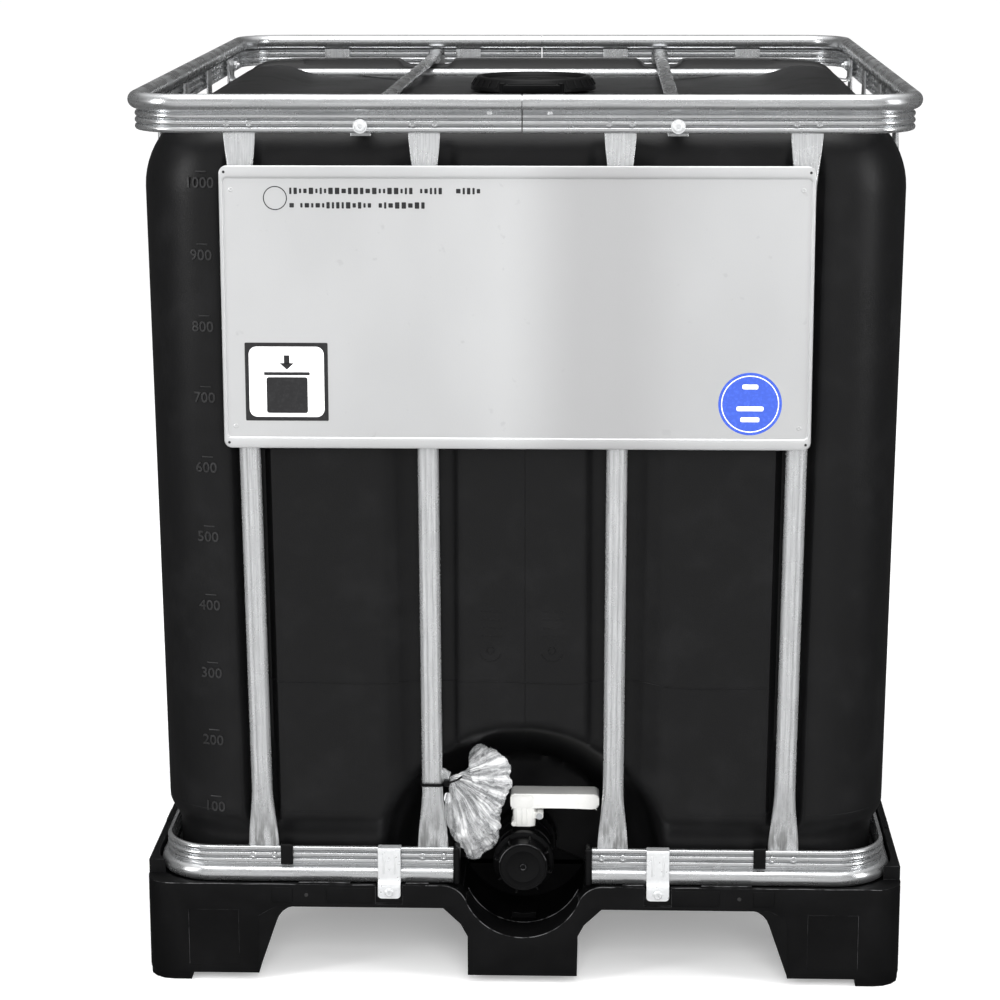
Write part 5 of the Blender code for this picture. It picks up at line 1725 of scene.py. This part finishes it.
def build_lever():
    """The white lever, its hub and lug, and the grey lock pin."""
    low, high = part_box("valve_lever")
    grip_low = 0.2120
    front, back = low.y, high.y
    work = bmesh.new()
    outline = []
    steps = 26
    tip = high.x
    lower = []
    for step in range(steps + 1):
        x = low.x + 0.003 + (tip - low.x - 0.008) * step / steps
        lower.append((x, grip_low + 0.0012 * math.sin(math.pi * step / steps)))
    outline += lower
    outline += arc((tip - 0.006, grip_low + 0.0065), 0.006, -80, 0, 6)
    outline += arc((tip - 0.006, high.z - 0.0060), 0.006, 0, 90, 6)
    outline += arc((low.x + 0.0045, high.z - 0.0045), 0.0045, 90, 180, 5)
    outline += arc((low.x + 0.0040, grip_low + 0.0042), 0.0040, 180, 250, 4)
    turn = turn_outline((0.0, 0.0, 0.0))
    add_prism(work, outline, -back + 0.0002, -front - 0.0012, turn, 0.0024, 4)
    panel = rounded_rectangle((low.x + 0.0030, grip_low + 0.0030), (0.0120, high.z - 0.0028), 0.0025, 5)
    add_prism(work, panel, -front - 0.0030, -front, turn, 0.0006)
    for start, end in ((0.020, 0.034), (0.040, 0.062), (0.067, 0.083)):
        near = (start, STEM_Y - 0.0050, high.z - 0.0010)
        far = (end, STEM_Y + 0.0050, high.z - 0.0001)
        add_box(work, near, far, 0.0003)
    hub = rounded_rectangle((-0.0150, STEM_Y - 0.0150), (0.0150, STEM_Y + 0.0150), 0.0060, 8)
    add_prism(work, hub, low.z, grip_low + 0.0040, edge=0.0008)
    for x in (-0.0100, -0.0035, 0.0030):
        add_box(work, (x, STEM_Y - 0.0160, low.z + 0.003), (x + 0.0018, STEM_Y - 0.0135, grip_low), 0.0004)
    lobe = [(0.0, 0.0160), (0.0030, 0.0160), (0.0035, 0.0154), (0.0035, -0.0100), (0.0, -0.0100)]
    revolve(work, lobe, Matrix.Translation((-0.0135, STEM_Y, 0.1905)) @ FORWARD, 24)
    pin = middle("lever_lock_pin")
    bridge = rounded_rectangle((0.0100, pin.z - 0.0045), (pin.x + 0.0010, pin.z + 0.0045), 0.0010, 3)
    add_prism(work, bridge, -STEM_Y - 0.0100, -STEM_Y + 0.0140, turn)
    lug = [
        (0.0032, 0.0165), (0.0036, 0.0173), (0.0048, 0.0175), (0.0052, 0.0169), (0.0052, -0.0105),
        (0.0032, -0.0105),
    ]
    revolve(work, lug, Matrix.Translation((pin.x, STEM_Y, pin.z)) @ FORWARD, 32)
    finish(
        "valve_lever_moulded", work, surface("white_plastic"), "valve_lever", "white_moulding",
        ("valve_lever",),
    )
    lock = bmesh.new()
    head = [
        (0.0, 0.0196), (0.0012, 0.0196), (0.0018, 0.0200), (0.0036, 0.0199), (0.0040, 0.0194),
        (0.0040, 0.0179), (0.0028, 0.0177), (0.0028, -0.0080), (0.0022, -0.0085), (0.0, -0.0085),
    ]
    revolve(lock, head, Matrix.Translation((pin.x, STEM_Y, pin.z)) @ FORWARD, 32)
    finish(
        "lever_lock_pin_turned", lock, surface("grey_plastic"), "lever_lock_pin", "grey_pin",
        ("lever_lock_pin",),
    )


# ---------------------------------------------------------------- label plate


def plate_loop(left, right, bottom, top, y, radius):
    """A closed row of points on the plate, set in from its edges by four widths."""
    low = (PLATE_LOW.x + left, PLATE_LOW.z + bottom)
    high = (PLATE_HIGH.x - right, PLATE_HIGH.z - top)
    return [Vector((a, y, b)) for a, b in rounded_rectangle(low, high, radius, 8)]


DIMPLE = (
    (0.0, 0.0002), (0.0014, 0.0004), (0.0022, 0.0006), (0.0030, 0.0002), (0.0032, -0.0004),
    (0.0, -0.0004),
)


def build_plate():
    """The label plate with its folded strips and its plain printed marks."""
    hem = bpy.context.scene.ibc_plate.hem
    back, front = PLATE_HIGH.y, PLATE_LOW.y
    sheet = back - 0.0010
    loops = [
        plate_loop(0.0010, 0.0010, 0.0010, 0.0010, back, 0.0090),
        plate_loop(0, 0, 0, 0, back - 0.0006, 0.0100),
        plate_loop(0, 0, 0, 0, front + 0.0016, 0.0100),
        plate_loop(0.0007, 0.0007, 0.0010, 0.0010, front + 0.0006, 0.0093),
        plate_loop(0.0016, 0.0016, 0.0035, 0.0035, front, 0.0084),
        plate_loop(0.0028, 0.0028, hem - 0.0040, hem - 0.0020, front, 0.0072),
        plate_loop(0.0038, 0.0038, hem - 0.0010, hem + 0.0010, front + 0.0006, 0.0062),
        plate_loop(0.0046, 0.0046, hem, hem + 0.0020, front + 0.0014, 0.0054),
        plate_loop(0.0050, 0.0050, hem + 0.0008, hem + 0.0028, sheet, 0.0050),
    ]
    work = bmesh.new()
    loft(work, loops)
    for z in (PLATE_LOW.z + 0.028, PLATE_HIGH.z - 0.030):
        for x in (PLATE_LOW.x + 0.0150, PLATE_HIGH.x - 0.0150):
            revolve(work, DIMPLE, facing((x, sheet, z), (0, -1, 0)), 24)
    finish("label_plate_folded", work, surface("rolled_sheet"), ROOT, "plate_sheet", ("label_plate",), 28)
    turn = turn_outline((0.0, sheet, 0.0))
    holes = bmesh.new()
    for z in (PLATE_LOW.z + 0.0072, PLATE_HIGH.z - 0.0078):
        for x in (PLATE_LOW.x + 0.0065, PLATE_HIGH.x - 0.0065):
            add_prism(holes, arc((x, z), 0.0017, 0, 345, 23), 0.0022, -front + sheet + 0.0001, turn)
    disc_at = (0.287, 0.778)
    dashes = random.Random(4)
    for z, last in ((1.0455, -0.045), (1.0275, -0.120)):
        x = -0.290
        while x < last:
            width = dashes.choice((0.0028, 0.0042, 0.0056))
            rise = dashes.choice((0.0028, 0.0040))
            if dashes.random() < 0.86:
                stroke = rounded_rectangle((x, z - rise), (x + width, z + rise), 0.0008, 3)
                add_prism(holes, stroke, 0, 0.0002, turn)
            x += width + 0.0026
    mark = [(0.0138, -0.0001), (0.0150, -0.0001), (0.0150, 0.0002), (0.0138, 0.0002)]
    revolve(holes, mark, turn @ Matrix.Translation((-0.3080, 1.0365, 0.0)), 64)
    low, high = (-0.350, 0.754), (-0.245, 0.854)
    add_prism(holes, rounded_rectangle(low, high, 0.0015, 3), 0, 0.0003, turn)
    marks = bmesh.new()
    inner = rounded_rectangle((low[0] + 0.005, low[1] + 0.005), (high[0] - 0.005, high[1] - 0.005), 0.010, 6)
    add_prism(marks, inner, 0.0001, 0.0005, turn)
    figures = bmesh.new()
    add_prism(figures, rounded_rectangle((-0.323, 0.764), (-0.271, 0.810), 0.003, 4), 0.0003, 0.0007, turn)
    add_prism(figures, rounded_rectangle((-0.326, 0.8125), (-0.268, 0.8165), 0.001, 3), 0.0003, 0.0007, turn)
    add_prism(figures, [(-0.306, 0.828), (-0.288, 0.828), (-0.297, 0.8195)], 0.0003, 0.0007, turn)
    add_prism(figures, rounded_rectangle((-0.3005, 0.827), (-0.2935, 0.838), 0.0005, 2), 0.0003, 0.0007, turn)
    disc = bmesh.new()
    add_prism(disc, arc(disc_at, 0.0400, 0, 356, 89), 0, 0.0002, turn)
    ring = [(0.0352, 0.0001), (0.0364, 0.0001), (0.0364, 0.0004), (0.0352, 0.0004)]
    centre = turn @ Matrix.Translation((disc_at[0], disc_at[1], 0.0))
    revolve(marks, ring, centre, 96)
    for z, half in ((0.800, 0.010), (0.772, 0.017), (0.758, 0.012)):
        bar = rounded_rectangle((disc_at[0] - half, z - 0.0030), (disc_at[0] + half, z + 0.0030), 0.002, 4)
        add_prism(marks, bar, 0.0001, 0.0004, turn)
    finish("label_marks_dark", holes, surface("ink_black"), ROOT, "plate_sheet")
    finish("label_figures", figures, surface("ink_black"), ROOT, "plate_sheet")
    finish("label_disc", disc, surface("ink_blue"), ROOT, "plate_sheet")
    finish("label_marks_pale", marks, surface("label_white"), ROOT, "plate_sheet")


# ---------------------------------------------------------------- fittings


def add_strap(work, path, x, half, sheet, side, tail=0.0):
    """A folded strip with rounded corners at its end; the path is (distance out, height)."""
    spots = rounded(path, 0.0035, 5)
    if tail:
        last, before = Vector(spots[-1]), Vector(spots[-2])
        back = (before - last).normalized()
        spots = spots[:-1] + [tuple(last + back * tail * part) for part in (1, 0.75, 0.5, 0.3, 0.15, 0.05, 0)]
    rows = []
    for i, spot in enumerate(spots):
        before, after = Vector(spots[max(i - 1, 0)]), Vector(spots[min(i + 1, len(spots) - 1)])
        along = (after - before).normalized()
        normal = Vector((-along.y, along.x)) * sheet / 2
        width = half
        if tail:
            near = max(0.0, 1.0 - (Vector(spots[-1]) - Vector(spot)).length / tail)
            width = half - tail * (1 - math.sqrt(max(1 - near**2, 0.0)))
        row = []
        edge = sheet * 0.3
        for a, b in ((-width + edge, -1), (width - edge, -1), (width, -0.5), (width, 0.5),
                     (width - edge, 1), (-width + edge, 1), (-width, 0.5), (-width, -0.5)):
            out = Vector(spot) + normal * b
            row.append(Vector((x + a, side * out.x, out.y)))
        rows.append(row)
    loft(work, rows)


SCREW = (
    (0.0, 0.0012), (0.0016, 0.0012), (0.0020, 0.0033), (0.0038, 0.0036), (0.0052, 0.0028),
    (0.0060, 0.0010), (0.0062, 0.0002), (0.0, 0.0002),
)


def build_clamps():
    """The straps that hold the cage on the pallet, with their screws, clips and tie."""
    hook = LOWER_HIGH.y - 0.0163
    foot_y = PALLET_HIGH.y - 0.0045 + 0.00105
    outer = LOWER_HIGH.y + 0.00105
    top = LOWER_HIGH.z + 0.00105
    path = (
        (hook, top - 0.012), (hook, top), (outer, top), (outer, 0.1385), (foot_y, 0.1315),
        (foot_y, 0.1146),
    )
    names = [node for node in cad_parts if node.startswith("cage_clamp_")]
    for node in sorted(names):
        centre = middle(node)
        side = -1 if centre.y < 0 else 1
        work = bmesh.new()
        add_strap(work, path, centre.x, 0.015, 0.0015, side, 0.005)
        for x in (-0.0075, 0.0075):
            add_box(
                work, (centre.x + x - 0.0012, min(side * outer, side * (outer + 0.0012)), 0.1460),
                (centre.x + x + 0.0012, max(side * outer, side * (outer + 0.0012)), 0.1740), 0.0005,
            )
        finish(node + "_strap", work, surface("zinc_bright"), ROOT, "galvanised_steel", (node,))
        screw_node = node.replace("cage_clamp", "clamp_screw")
        screw = bmesh.new()
        spot = (centre.x, side * (foot_y + 0.0008), middle(screw_node).z)
        revolve(screw, SCREW, facing(spot, (0, side, 0)), 32)
        revolve(screw, BOLT_SHAFT, facing(spot, (0, side, 0)), 20)
        finish(screw_node + "_button", screw, surface("zinc_bright"), ROOT, "galvanised_steel", (screw_node,))
    for side in SIDES:
        node = f"ring_clip_{side}"
        low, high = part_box(node)
        work = bmesh.new()
        path = ((-high.y + 0.0015, low.z + 0.004), (-high.y + 0.0015, high.z - 0.0015),
                (-low.y - 0.0015, high.z - 0.0015), (-low.y - 0.0015, low.z))
        add_strap(work, path, middle(node).x, 0.008, 0.0030, -1)
        near = (low.x + 0.002, low.y + 0.0001, low.z + 0.003)
        far = (high.x - 0.002, low.y + 0.002, low.z + 0.007)
        add_box(work, near, far, 0.0005)
        finish(node + "_moulded", work, surface("moulded_fitting"), ROOT, "black_moulding", (node,))
    build_tie()


def tie_spot():
    """The centre of the bar that the tie goes round, at the tie's height."""
    low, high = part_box("cable_tie")
    start, end, _ = bar_ends("front", 2)
    start, end = Vector(start), Vector(end)
    height = low.z + 0.0025
    return start.lerp(end, (height - start.z) / (end.z - start.z))


def build_tie():
    """A cable tie round the bar, with its ratchet head and its cut tail."""
    centre = tie_spot()
    work = bmesh.new()
    outline = rounded_rectangle((-0.0150, -0.0105), (0.0150, 0.0105), 0.0070, 8)
    rows = []
    for a, b in outline:
        out = Vector((a, b)).normalized()
        rows.append([
            Vector((centre.x + a + out.x * c, centre.y + b + out.y * c, centre.z + h))
            for c, h in ((-0.0006, -0.0020), (0.0006, -0.0020), (0.0006, 0.0020), (-0.0006, 0.0020))
        ])
    loft(work, rows + [rows[0]], (False, False))
    bmesh.ops.remove_doubles(work, verts=work.verts, dist=0.00001)
    edge = centre.x + 0.0150
    near = (edge, centre.y - 0.0085, centre.z - 0.0025)
    far = (edge + 0.0080, centre.y + 0.0005, centre.z + 0.0055)
    add_box(work, near, far, 0.0010)
    tail = [
        Vector((edge + 0.004, centre.y - 0.0035, centre.z + 0.001)),
        Vector((edge + 0.010, centre.y - 0.0110, centre.z + 0.005)),
        Vector((edge + 0.018, centre.y - 0.0160, centre.z + 0.0095)),
        Vector((edge + 0.025, centre.y - 0.0165, centre.z + 0.0145)),
    ]
    path = smooth_curve(tail, 5)
    add_tube(work, path, [(0.0025, 0.0007)] * len(path), 10, Vector((0, 1, 0.2)))
    finish("cable_tie_strap", work, surface("moulded_fitting"), ROOT, "black_moulding", ("cable_tie",))


# ---------------------------------------------------------------- bag of accessories

BAG_EDGE = (
    (-0.0980, 0.2690), (-0.0860, 0.2760), (-0.0763, 0.2850), (-0.0705, 0.2985), (-0.0675, 0.3100),
    (-0.0590, 0.3180), (-0.0505, 0.3175), (-0.0430, 0.3145), (-0.0330, 0.3165), (-0.0190, 0.3085),
    (-0.0080, 0.2960), (-0.0005, 0.2790), (0.0010, 0.2646), (-0.0040, 0.2496), (-0.0085, 0.2372),
    (-0.0130, 0.2230), (-0.0170, 0.2090), (-0.0210, 0.1970), (-0.0255, 0.1830), (-0.0300, 0.1680),
    (-0.0400, 0.1490), (-0.0591, 0.1390), (-0.0780, 0.1450), (-0.0870, 0.1640), (-0.0990, 0.1840),
    (-0.1050, 0.2049), (-0.1050, 0.2248), (-0.1010, 0.2397), (-0.0985, 0.2550),
)


def bag_mesh():
    """A lumpy closed form for the bag, before its film is crumpled."""
    centre_y = middle("accessory_bag").y
    loop = [Vector((a, b, 0.0)) for a, b in BAG_EDGE]
    edge = smooth_curve(loop + [loop[0]], 4)[:-1]
    middle_x, middle_z = -0.056, 0.232
    rows = []
    shares = (0.15, 0.35, 0.55, 0.72, 0.86, 0.95, 1.0)
    for side, order in ((-1, shares), (1, shares[-2::-1])):
        for share in order:
            depth = 0.0120 * math.sqrt(1.0 - share**2) * side
            row = []
            for spot in edge:
                x = middle_x + (spot.x - middle_x) * share
                z = middle_z + (spot.y - middle_z) * share
                lump = 1.0 + 0.35 * noise.noise(Vector((x, z, 0.1 * side)) * 38.0)
                row.append(Vector((x, centre_y + depth * lump, z)))
            rows.append(row)
    work = bmesh.new()
    loft(work, rows)
    bmesh.ops.recalc_face_normals(work, faces=work.faces)
    mesh = bpy.data.meshes.new("bag")
    work.to_mesh(mesh)
    work.free()
    return mesh


def fan_folds(mesh):
    """Gathers the film into folds that fan out from the tie."""
    centre = tie_spot()
    start = Vector((centre.x + 0.020, centre.z + 0.004))
    middle_y = middle("accessory_bag").y
    for vertex in mesh.vertices:
        away = Vector((vertex.co.x, vertex.co.z)) - start
        turn = math.atan2(away.y, away.x)
        spread = smooth_step(0.004, 0.040, away.length) * (1.0 - smooth_step(0.11, 0.15, away.length))
        side = 1.0 if vertex.co.y > middle_y else -1.0
        turn += 0.35 * noise.noise(Vector((away.x * 22.0, away.y * 22.0, side * 5.0)))
        ridge = noise.noise(Vector((turn * 3.4, away.length * 14.0, side * 3.0)))
        fine = noise.noise(Vector((turn * 12.0, away.length * 30.0, side * 7.0)))
        vertex.co.y += (0.0040 * ridge + 0.0012 * fine) * spread


def crumple(item, settings):
    """Lets the film settle into folds: it is larger than the space that holds it."""
    remesh = item.modifiers.new("Even faces", "REMESH")
    remesh.mode = "VOXEL"
    remesh.voxel_size = settings.voxel
    even = evaluated_mesh(item)
    item.modifiers.clear()
    item.data = even
    held = item.vertex_groups.new(name="held")
    for vertex in even.vertices:
        if vertex.co.z > 0.255 and vertex.co.x < -0.090:
            held.add([vertex.index], 1.0, "REPLACE")
    cloth = item.modifiers.new("Film", "CLOTH")
    cloth.settings.quality = 6
    cloth.settings.mass = 0.08
    cloth.settings.tension_stiffness = 18.0
    cloth.settings.compression_stiffness = 12.0
    cloth.settings.bending_stiffness = 0.02
    cloth.settings.air_damping = 3.0
    cloth.settings.shrink_min = -settings.growth
    cloth.settings.use_pressure = True
    cloth.settings.uniform_pressure_force = 0.5
    cloth.settings.effector_weights.gravity = 0.0
    cloth.settings.vertex_group_mass = "held"
    cloth.collision_settings.use_collision = False
    cloth.collision_settings.use_self_collision = True
    cloth.collision_settings.self_distance_min = 0.001
    scene = bpy.context.scene
    for step in range(1, 21):
        scene.frame_set(step)
    settled = evaluated_mesh(item)
    scene.frame_set(1)
    item.modifiers.clear()
    item.data = settled


def build_bag():
    """The tied film bag of accessories, crumpled by a short cloth simulation."""
    settings = bpy.context.scene.ibc_bag
    item = bpy.data.objects.new("accessory_bag_settling", bag_mesh())
    bpy.context.scene.collection.objects.link(item)
    crumple(item, settings)
    smooth = item.modifiers.new("Finer", "SUBSURF")
    smooth.levels = 1
    smooth.render_levels = 1
    film = evaluated_mesh(item)
    bpy.data.objects.remove(item, do_unlink=True)
    fan_folds(film)
    keep_inside(film)
    bag = place(
        "accessory_bag_film", film, surface("clear_film"), ROOT, "clear_film",
        ("accessory_bag",), 60,
    )
    work = bmesh.new()
    centre = tie_spot()
    ruff = []
    for step in range(40):
        angle = math.pi * 2 * step / 40
        fold = 1.0 + 0.22 * math.sin(angle * 7)
        ruff.append((math.cos(angle) * fold, math.sin(angle) * fold))
    stations = ((-0.002, 0.004, 0.0050), (0.002, 0.001, 0.0032), (0.008, -0.002, 0.0060),
                (0.015, -0.004, 0.0090), (0.021, -0.005, 0.0110), (0.0215, -0.0048, 0.0095))
    rows = []
    for rise, shift, size in stations:
        spot = Vector((centre.x + 0.0165 + shift, centre.y + 0.0020, centre.z - 0.002 + rise))
        rows.append([spot + Vector((a * size, b * size * 0.55, -a * size * 0.4)) for a, b in ruff])
    loft(work, rows)
    flap = Vector((centre.x + 0.0205, centre.y - 0.012, centre.z - 0.016))
    rows = []
    for size, out in ((0.0055, 0.0), (0.0062, -0.0010), (0.0052, -0.0018), (0.0030, -0.0012)):
        rows.append([flap + Vector((0.8 * size * math.cos(t), out, 1.2 * size * math.sin(t)))
                     for t in [2 * math.pi * step / 24 for step in range(24)]])
    loft(work, rows)
    finish("accessory_bag_ruff", work, surface("clear_film"), ROOT, "clear_film", (), 60)


def keep_inside(mesh):
    """Keeps the film between the cage's front and the bottle's recess."""
    low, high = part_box("accessory_bag")
    for vertex in mesh.vertices:
        vertex.co.y = min(max(vertex.co.y, low.y - 0.008), high.y + 0.010)
        vertex.co.z = max(vertex.co.z, low.z - 0.002)


# ---------------------------------------------------------------- hidden parts

HIDDEN = {
    "ring_splice_front": "zinc_rough",
    "ring_splice_back": "zinc_rough",
    "valve_ball": "white_plastic",
    "valve_flange_seal": "seal_rubber",
    "valve_stem_seal": "seal_rubber",
    "outlet_cap_seal": "seal_rubber",
    "lid_gasket": "seal_rubber",
}


def build_hidden():
    """Finishes for the seals, the ball and the splices, which keep their shapes."""
    for node, finish_name in HIDDEN.items():
        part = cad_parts[node]
        part.data.materials.clear()
        part.data.materials.append(surface(finish_name))


# ---------------------------------------------------------------- stage


def add_light(name, location, target, size, power, shape=(1.0, 1.0), shiny=True):
    data = bpy.data.lights.new(name, "AREA")
    data.shape = "RECTANGLE"
    data.size = size * shape[0]
    data.size_y = size * shape[1]
    data.energy = power
    light = bpy.data.objects.new(name, data)
    light.location = location
    light.visible_glossy = shiny
    light.rotation_euler = (Vector(target) - Vector(location)).to_track_quat("-Z", "Y").to_euler()
    bpy.context.scene.collection.objects.link(light)


def build_stage():
    """A pale floor, even light, the studio that shiny surfaces reflect, and the camera."""
    scene = bpy.context.scene
    settings = scene.ibc_stage
    work = bmesh.new()
    bmesh.ops.create_grid(work, x_segments=1, y_segments=1, size=60.0)
    mesh = bpy.data.meshes.new("floor")
    work.to_mesh(mesh)
    work.free()
    mesh.materials.append(surface("pale_floor"))
    floor = bpy.data.objects.new("floor", mesh)
    floor.location = (0.0, 0.0, -0.0005)
    scene.collection.objects.link(floor)
    floor.visible_glossy = False
    world = bpy.data.worlds.new("studio")
    scene.world = world
    world.use_nodes = True
    background = world.node_tree.nodes["Background"]
    background.inputs["Color"].default_value = (1.0, 1.0, 1.0, 1.0)
    background.inputs["Strength"].default_value = 0.85
    dome = bmesh.new()
    bmesh.ops.create_icosphere(dome, subdivisions=4, radius=DOME)
    mesh = bpy.data.meshes.new("reflected_studio")
    dome.to_mesh(mesh)
    dome.free()
    mesh.materials.append(surface("studio_dome"))
    shell = bpy.data.objects.new("reflected_studio", mesh)
    shell.visible_camera = False
    shell.visible_diffuse = False
    shell.visible_shadow = False
    shell.visible_transmission = False
    shell.visible_volume_scatter = False
    scene.collection.objects.link(shell)
    add_light("key_left", (-3.4, -2.6, 2.0), (0.0, 0.0, 0.6), 1.6, 60.0, (0.40, 1.7))
    add_light("fill_right", (3.6, -2.2, 1.8), (0.0, 0.0, 0.6), 1.6, 48.0, (0.40, 1.7))
    add_light("top_box", (0.0, -0.6, 4.2), (0.0, 0.0, 0.6), 3.0, 100.0)
    add_light("front_fill", (0.4, -4.6, 2.2), (0.0, 0.0, 0.5), 2.2, 120.0, shiny=False)
    data = bpy.data.cameras.new("camera")
    data.lens = settings.lens
    data.sensor_width = 36.0
    data.clip_end = 200.0
    camera = bpy.data.objects.new("camera", data)
    turn = (
        Matrix.Rotation(0.0355, 4, "Z")
        @ Matrix.Rotation(math.pi / 2 - 0.2211, 4, "X")
        @ Matrix.Rotation(-0.0021, 4, "Z")
    )
    camera.matrix_world = Matrix.Translation((0.0989, -4.1718, 1.4571)) @ turn
    scene.collection.objects.link(camera)
    scene.camera = camera
    scene.view_settings.view_transform = "Standard"


# ---------------------------------------------------------------- add-on


class AddRings(bpy.types.Operator):
    """Rolled top and bottom rings with their joint rivets and end caps"""

    bl_idname = "ibc.add_rings"
    bl_label = "Cage rings"

    def execute(self, context):
        build_rings()
        return {"FINISHED"}


class AddBars(bpy.types.Operator):
    """Sixteen upright bars with squeezed ends and weld marks"""

    bl_idname = "ibc.add_bars"
    bl_label = "Upright bars"

    def execute(self, context):
        build_bars()
        return {"FINISHED"}


class AddTopBars(bpy.types.Operator):
    """The cross tube, the two top bars and their bolts"""

    bl_idname = "ibc.add_top_bars"
    bl_label = "Top bars and bolts"

    def execute(self, context):
        build_top_bars()
        return {"FINISHED"}


class AddBottle(bpy.types.Operator):
    """The blown bottle with its spout, figures and parting lines"""

    bl_idname = "ibc.add_bottle"
    bl_label = "Bottle"

    def execute(self, context):
        build_bottle()
        return {"FINISHED"}


class AddPallet(bpy.types.Operator):
    """The moulded pallet with its trough, drain and panels"""

    bl_idname = "ibc.add_pallet"
    bl_label = "Pallet"

    def execute(self, context):
        build_pallet()
        return {"FINISHED"}


class AddLid(bpy.types.Operator):
    """The screw lid with its grips, and the neck's thread"""

    bl_idname = "ibc.add_lid"
    bl_label = "Lid"

    def execute(self, context):
        build_lid()
        return {"FINISHED"}


class AddValve(bpy.types.Operator):
    """The outlet valve: union nut, body, dust cap, lever and lock pin"""

    bl_idname = "ibc.add_valve"
    bl_label = "Outlet valve"

    def execute(self, context):
        build_valve()
        return {"FINISHED"}


class AddPlate(bpy.types.Operator):
    """The folded label plate and its printed marks"""

    bl_idname = "ibc.add_plate"
    bl_label = "Label plate"

    def execute(self, context):
        build_plate()
        return {"FINISHED"}


class AddFittings(bpy.types.Operator):
    """Clamps, screws, clips and the cable tie"""

    bl_idname = "ibc.add_fittings"
    bl_label = "Fittings"

    def execute(self, context):
        build_clamps()
        return {"FINISHED"}


class AddBag(bpy.types.Operator):
    """The crumpled film bag of accessories"""

    bl_idname = "ibc.add_bag"
    bl_label = "Accessory bag"

    def execute(self, context):
        build_bag()
        return {"FINISHED"}


class AddHidden(bpy.types.Operator):
    """Finishes for the seals, the ball and the splices"""

    bl_idname = "ibc.add_hidden"
    bl_label = "Seals and splices"

    def execute(self, context):
        build_hidden()
        return {"FINISHED"}


class AddStage(bpy.types.Operator):
    """The floor, the reflected studio, the lights and the camera"""

    bl_idname = "ibc.add_stage"
    bl_label = "Stage"

    def execute(self, context):
        build_stage()
        return {"FINISHED"}


OPERATORS = (
    AddRings, AddBars, AddTopBars, AddBottle, AddPallet, AddLid, AddValve, AddPlate, AddFittings,
    AddBag, AddHidden, AddStage,
)
SETTINGS = {
    "ibc_cage": CageSettings,
    "ibc_bottle": BottleSettings,
    "ibc_pallet": PalletSettings,
    "ibc_valve": ValveSettings,
    "ibc_plate": PlateSettings,
    "ibc_bag": BagSettings,
    "ibc_stage": StageSettings,
}


class ContainerPanel(bpy.types.Panel):
    """Lists what builds the container"""

    bl_idname = "VIEW3D_PT_ibc"
    bl_label = "Bulk container"
    bl_space_type = "VIEW_3D"
    bl_region_type = "UI"
    bl_category = "Container"

    def draw(self, context):
        for operator in OPERATORS:
            self.layout.operator(operator.bl_idname)
        for name, settings in SETTINGS.items():
            box = self.layout.box()
            for setting in settings.__annotations__:
                box.prop(getattr(context.scene, name), setting)


def register():
    for item in (*SETTINGS.values(), *OPERATORS, ContainerPanel):
        bpy.utils.register_class(item)
    for name, settings in SETTINGS.items():
        setattr(bpy.types.Scene, name, PointerProperty(type=settings))


def unregister():
    for name in SETTINGS:
        delattr(bpy.types.Scene, name)
    for item in (ContainerPanel, *reversed(OPERATORS), *SETTINGS.values()):
        bpy.utils.unregister_class(item)


def main():
    register()
    bpy.ops.ibc.add_rings()
    bpy.ops.ibc.add_bars()
    bpy.ops.ibc.add_top_bars()
    bpy.ops.ibc.add_bottle()
    bpy.ops.ibc.add_pallet()
    bpy.ops.ibc.add_lid()
    bpy.ops.ibc.add_valve()
    bpy.ops.ibc.add_plate()
    bpy.ops.ibc.add_fittings()
    bpy.ops.ibc.add_bag()
    bpy.ops.ibc.add_hidden()
    bpy.ops.ibc.add_stage()


if __name__ == "__main__":
    main()
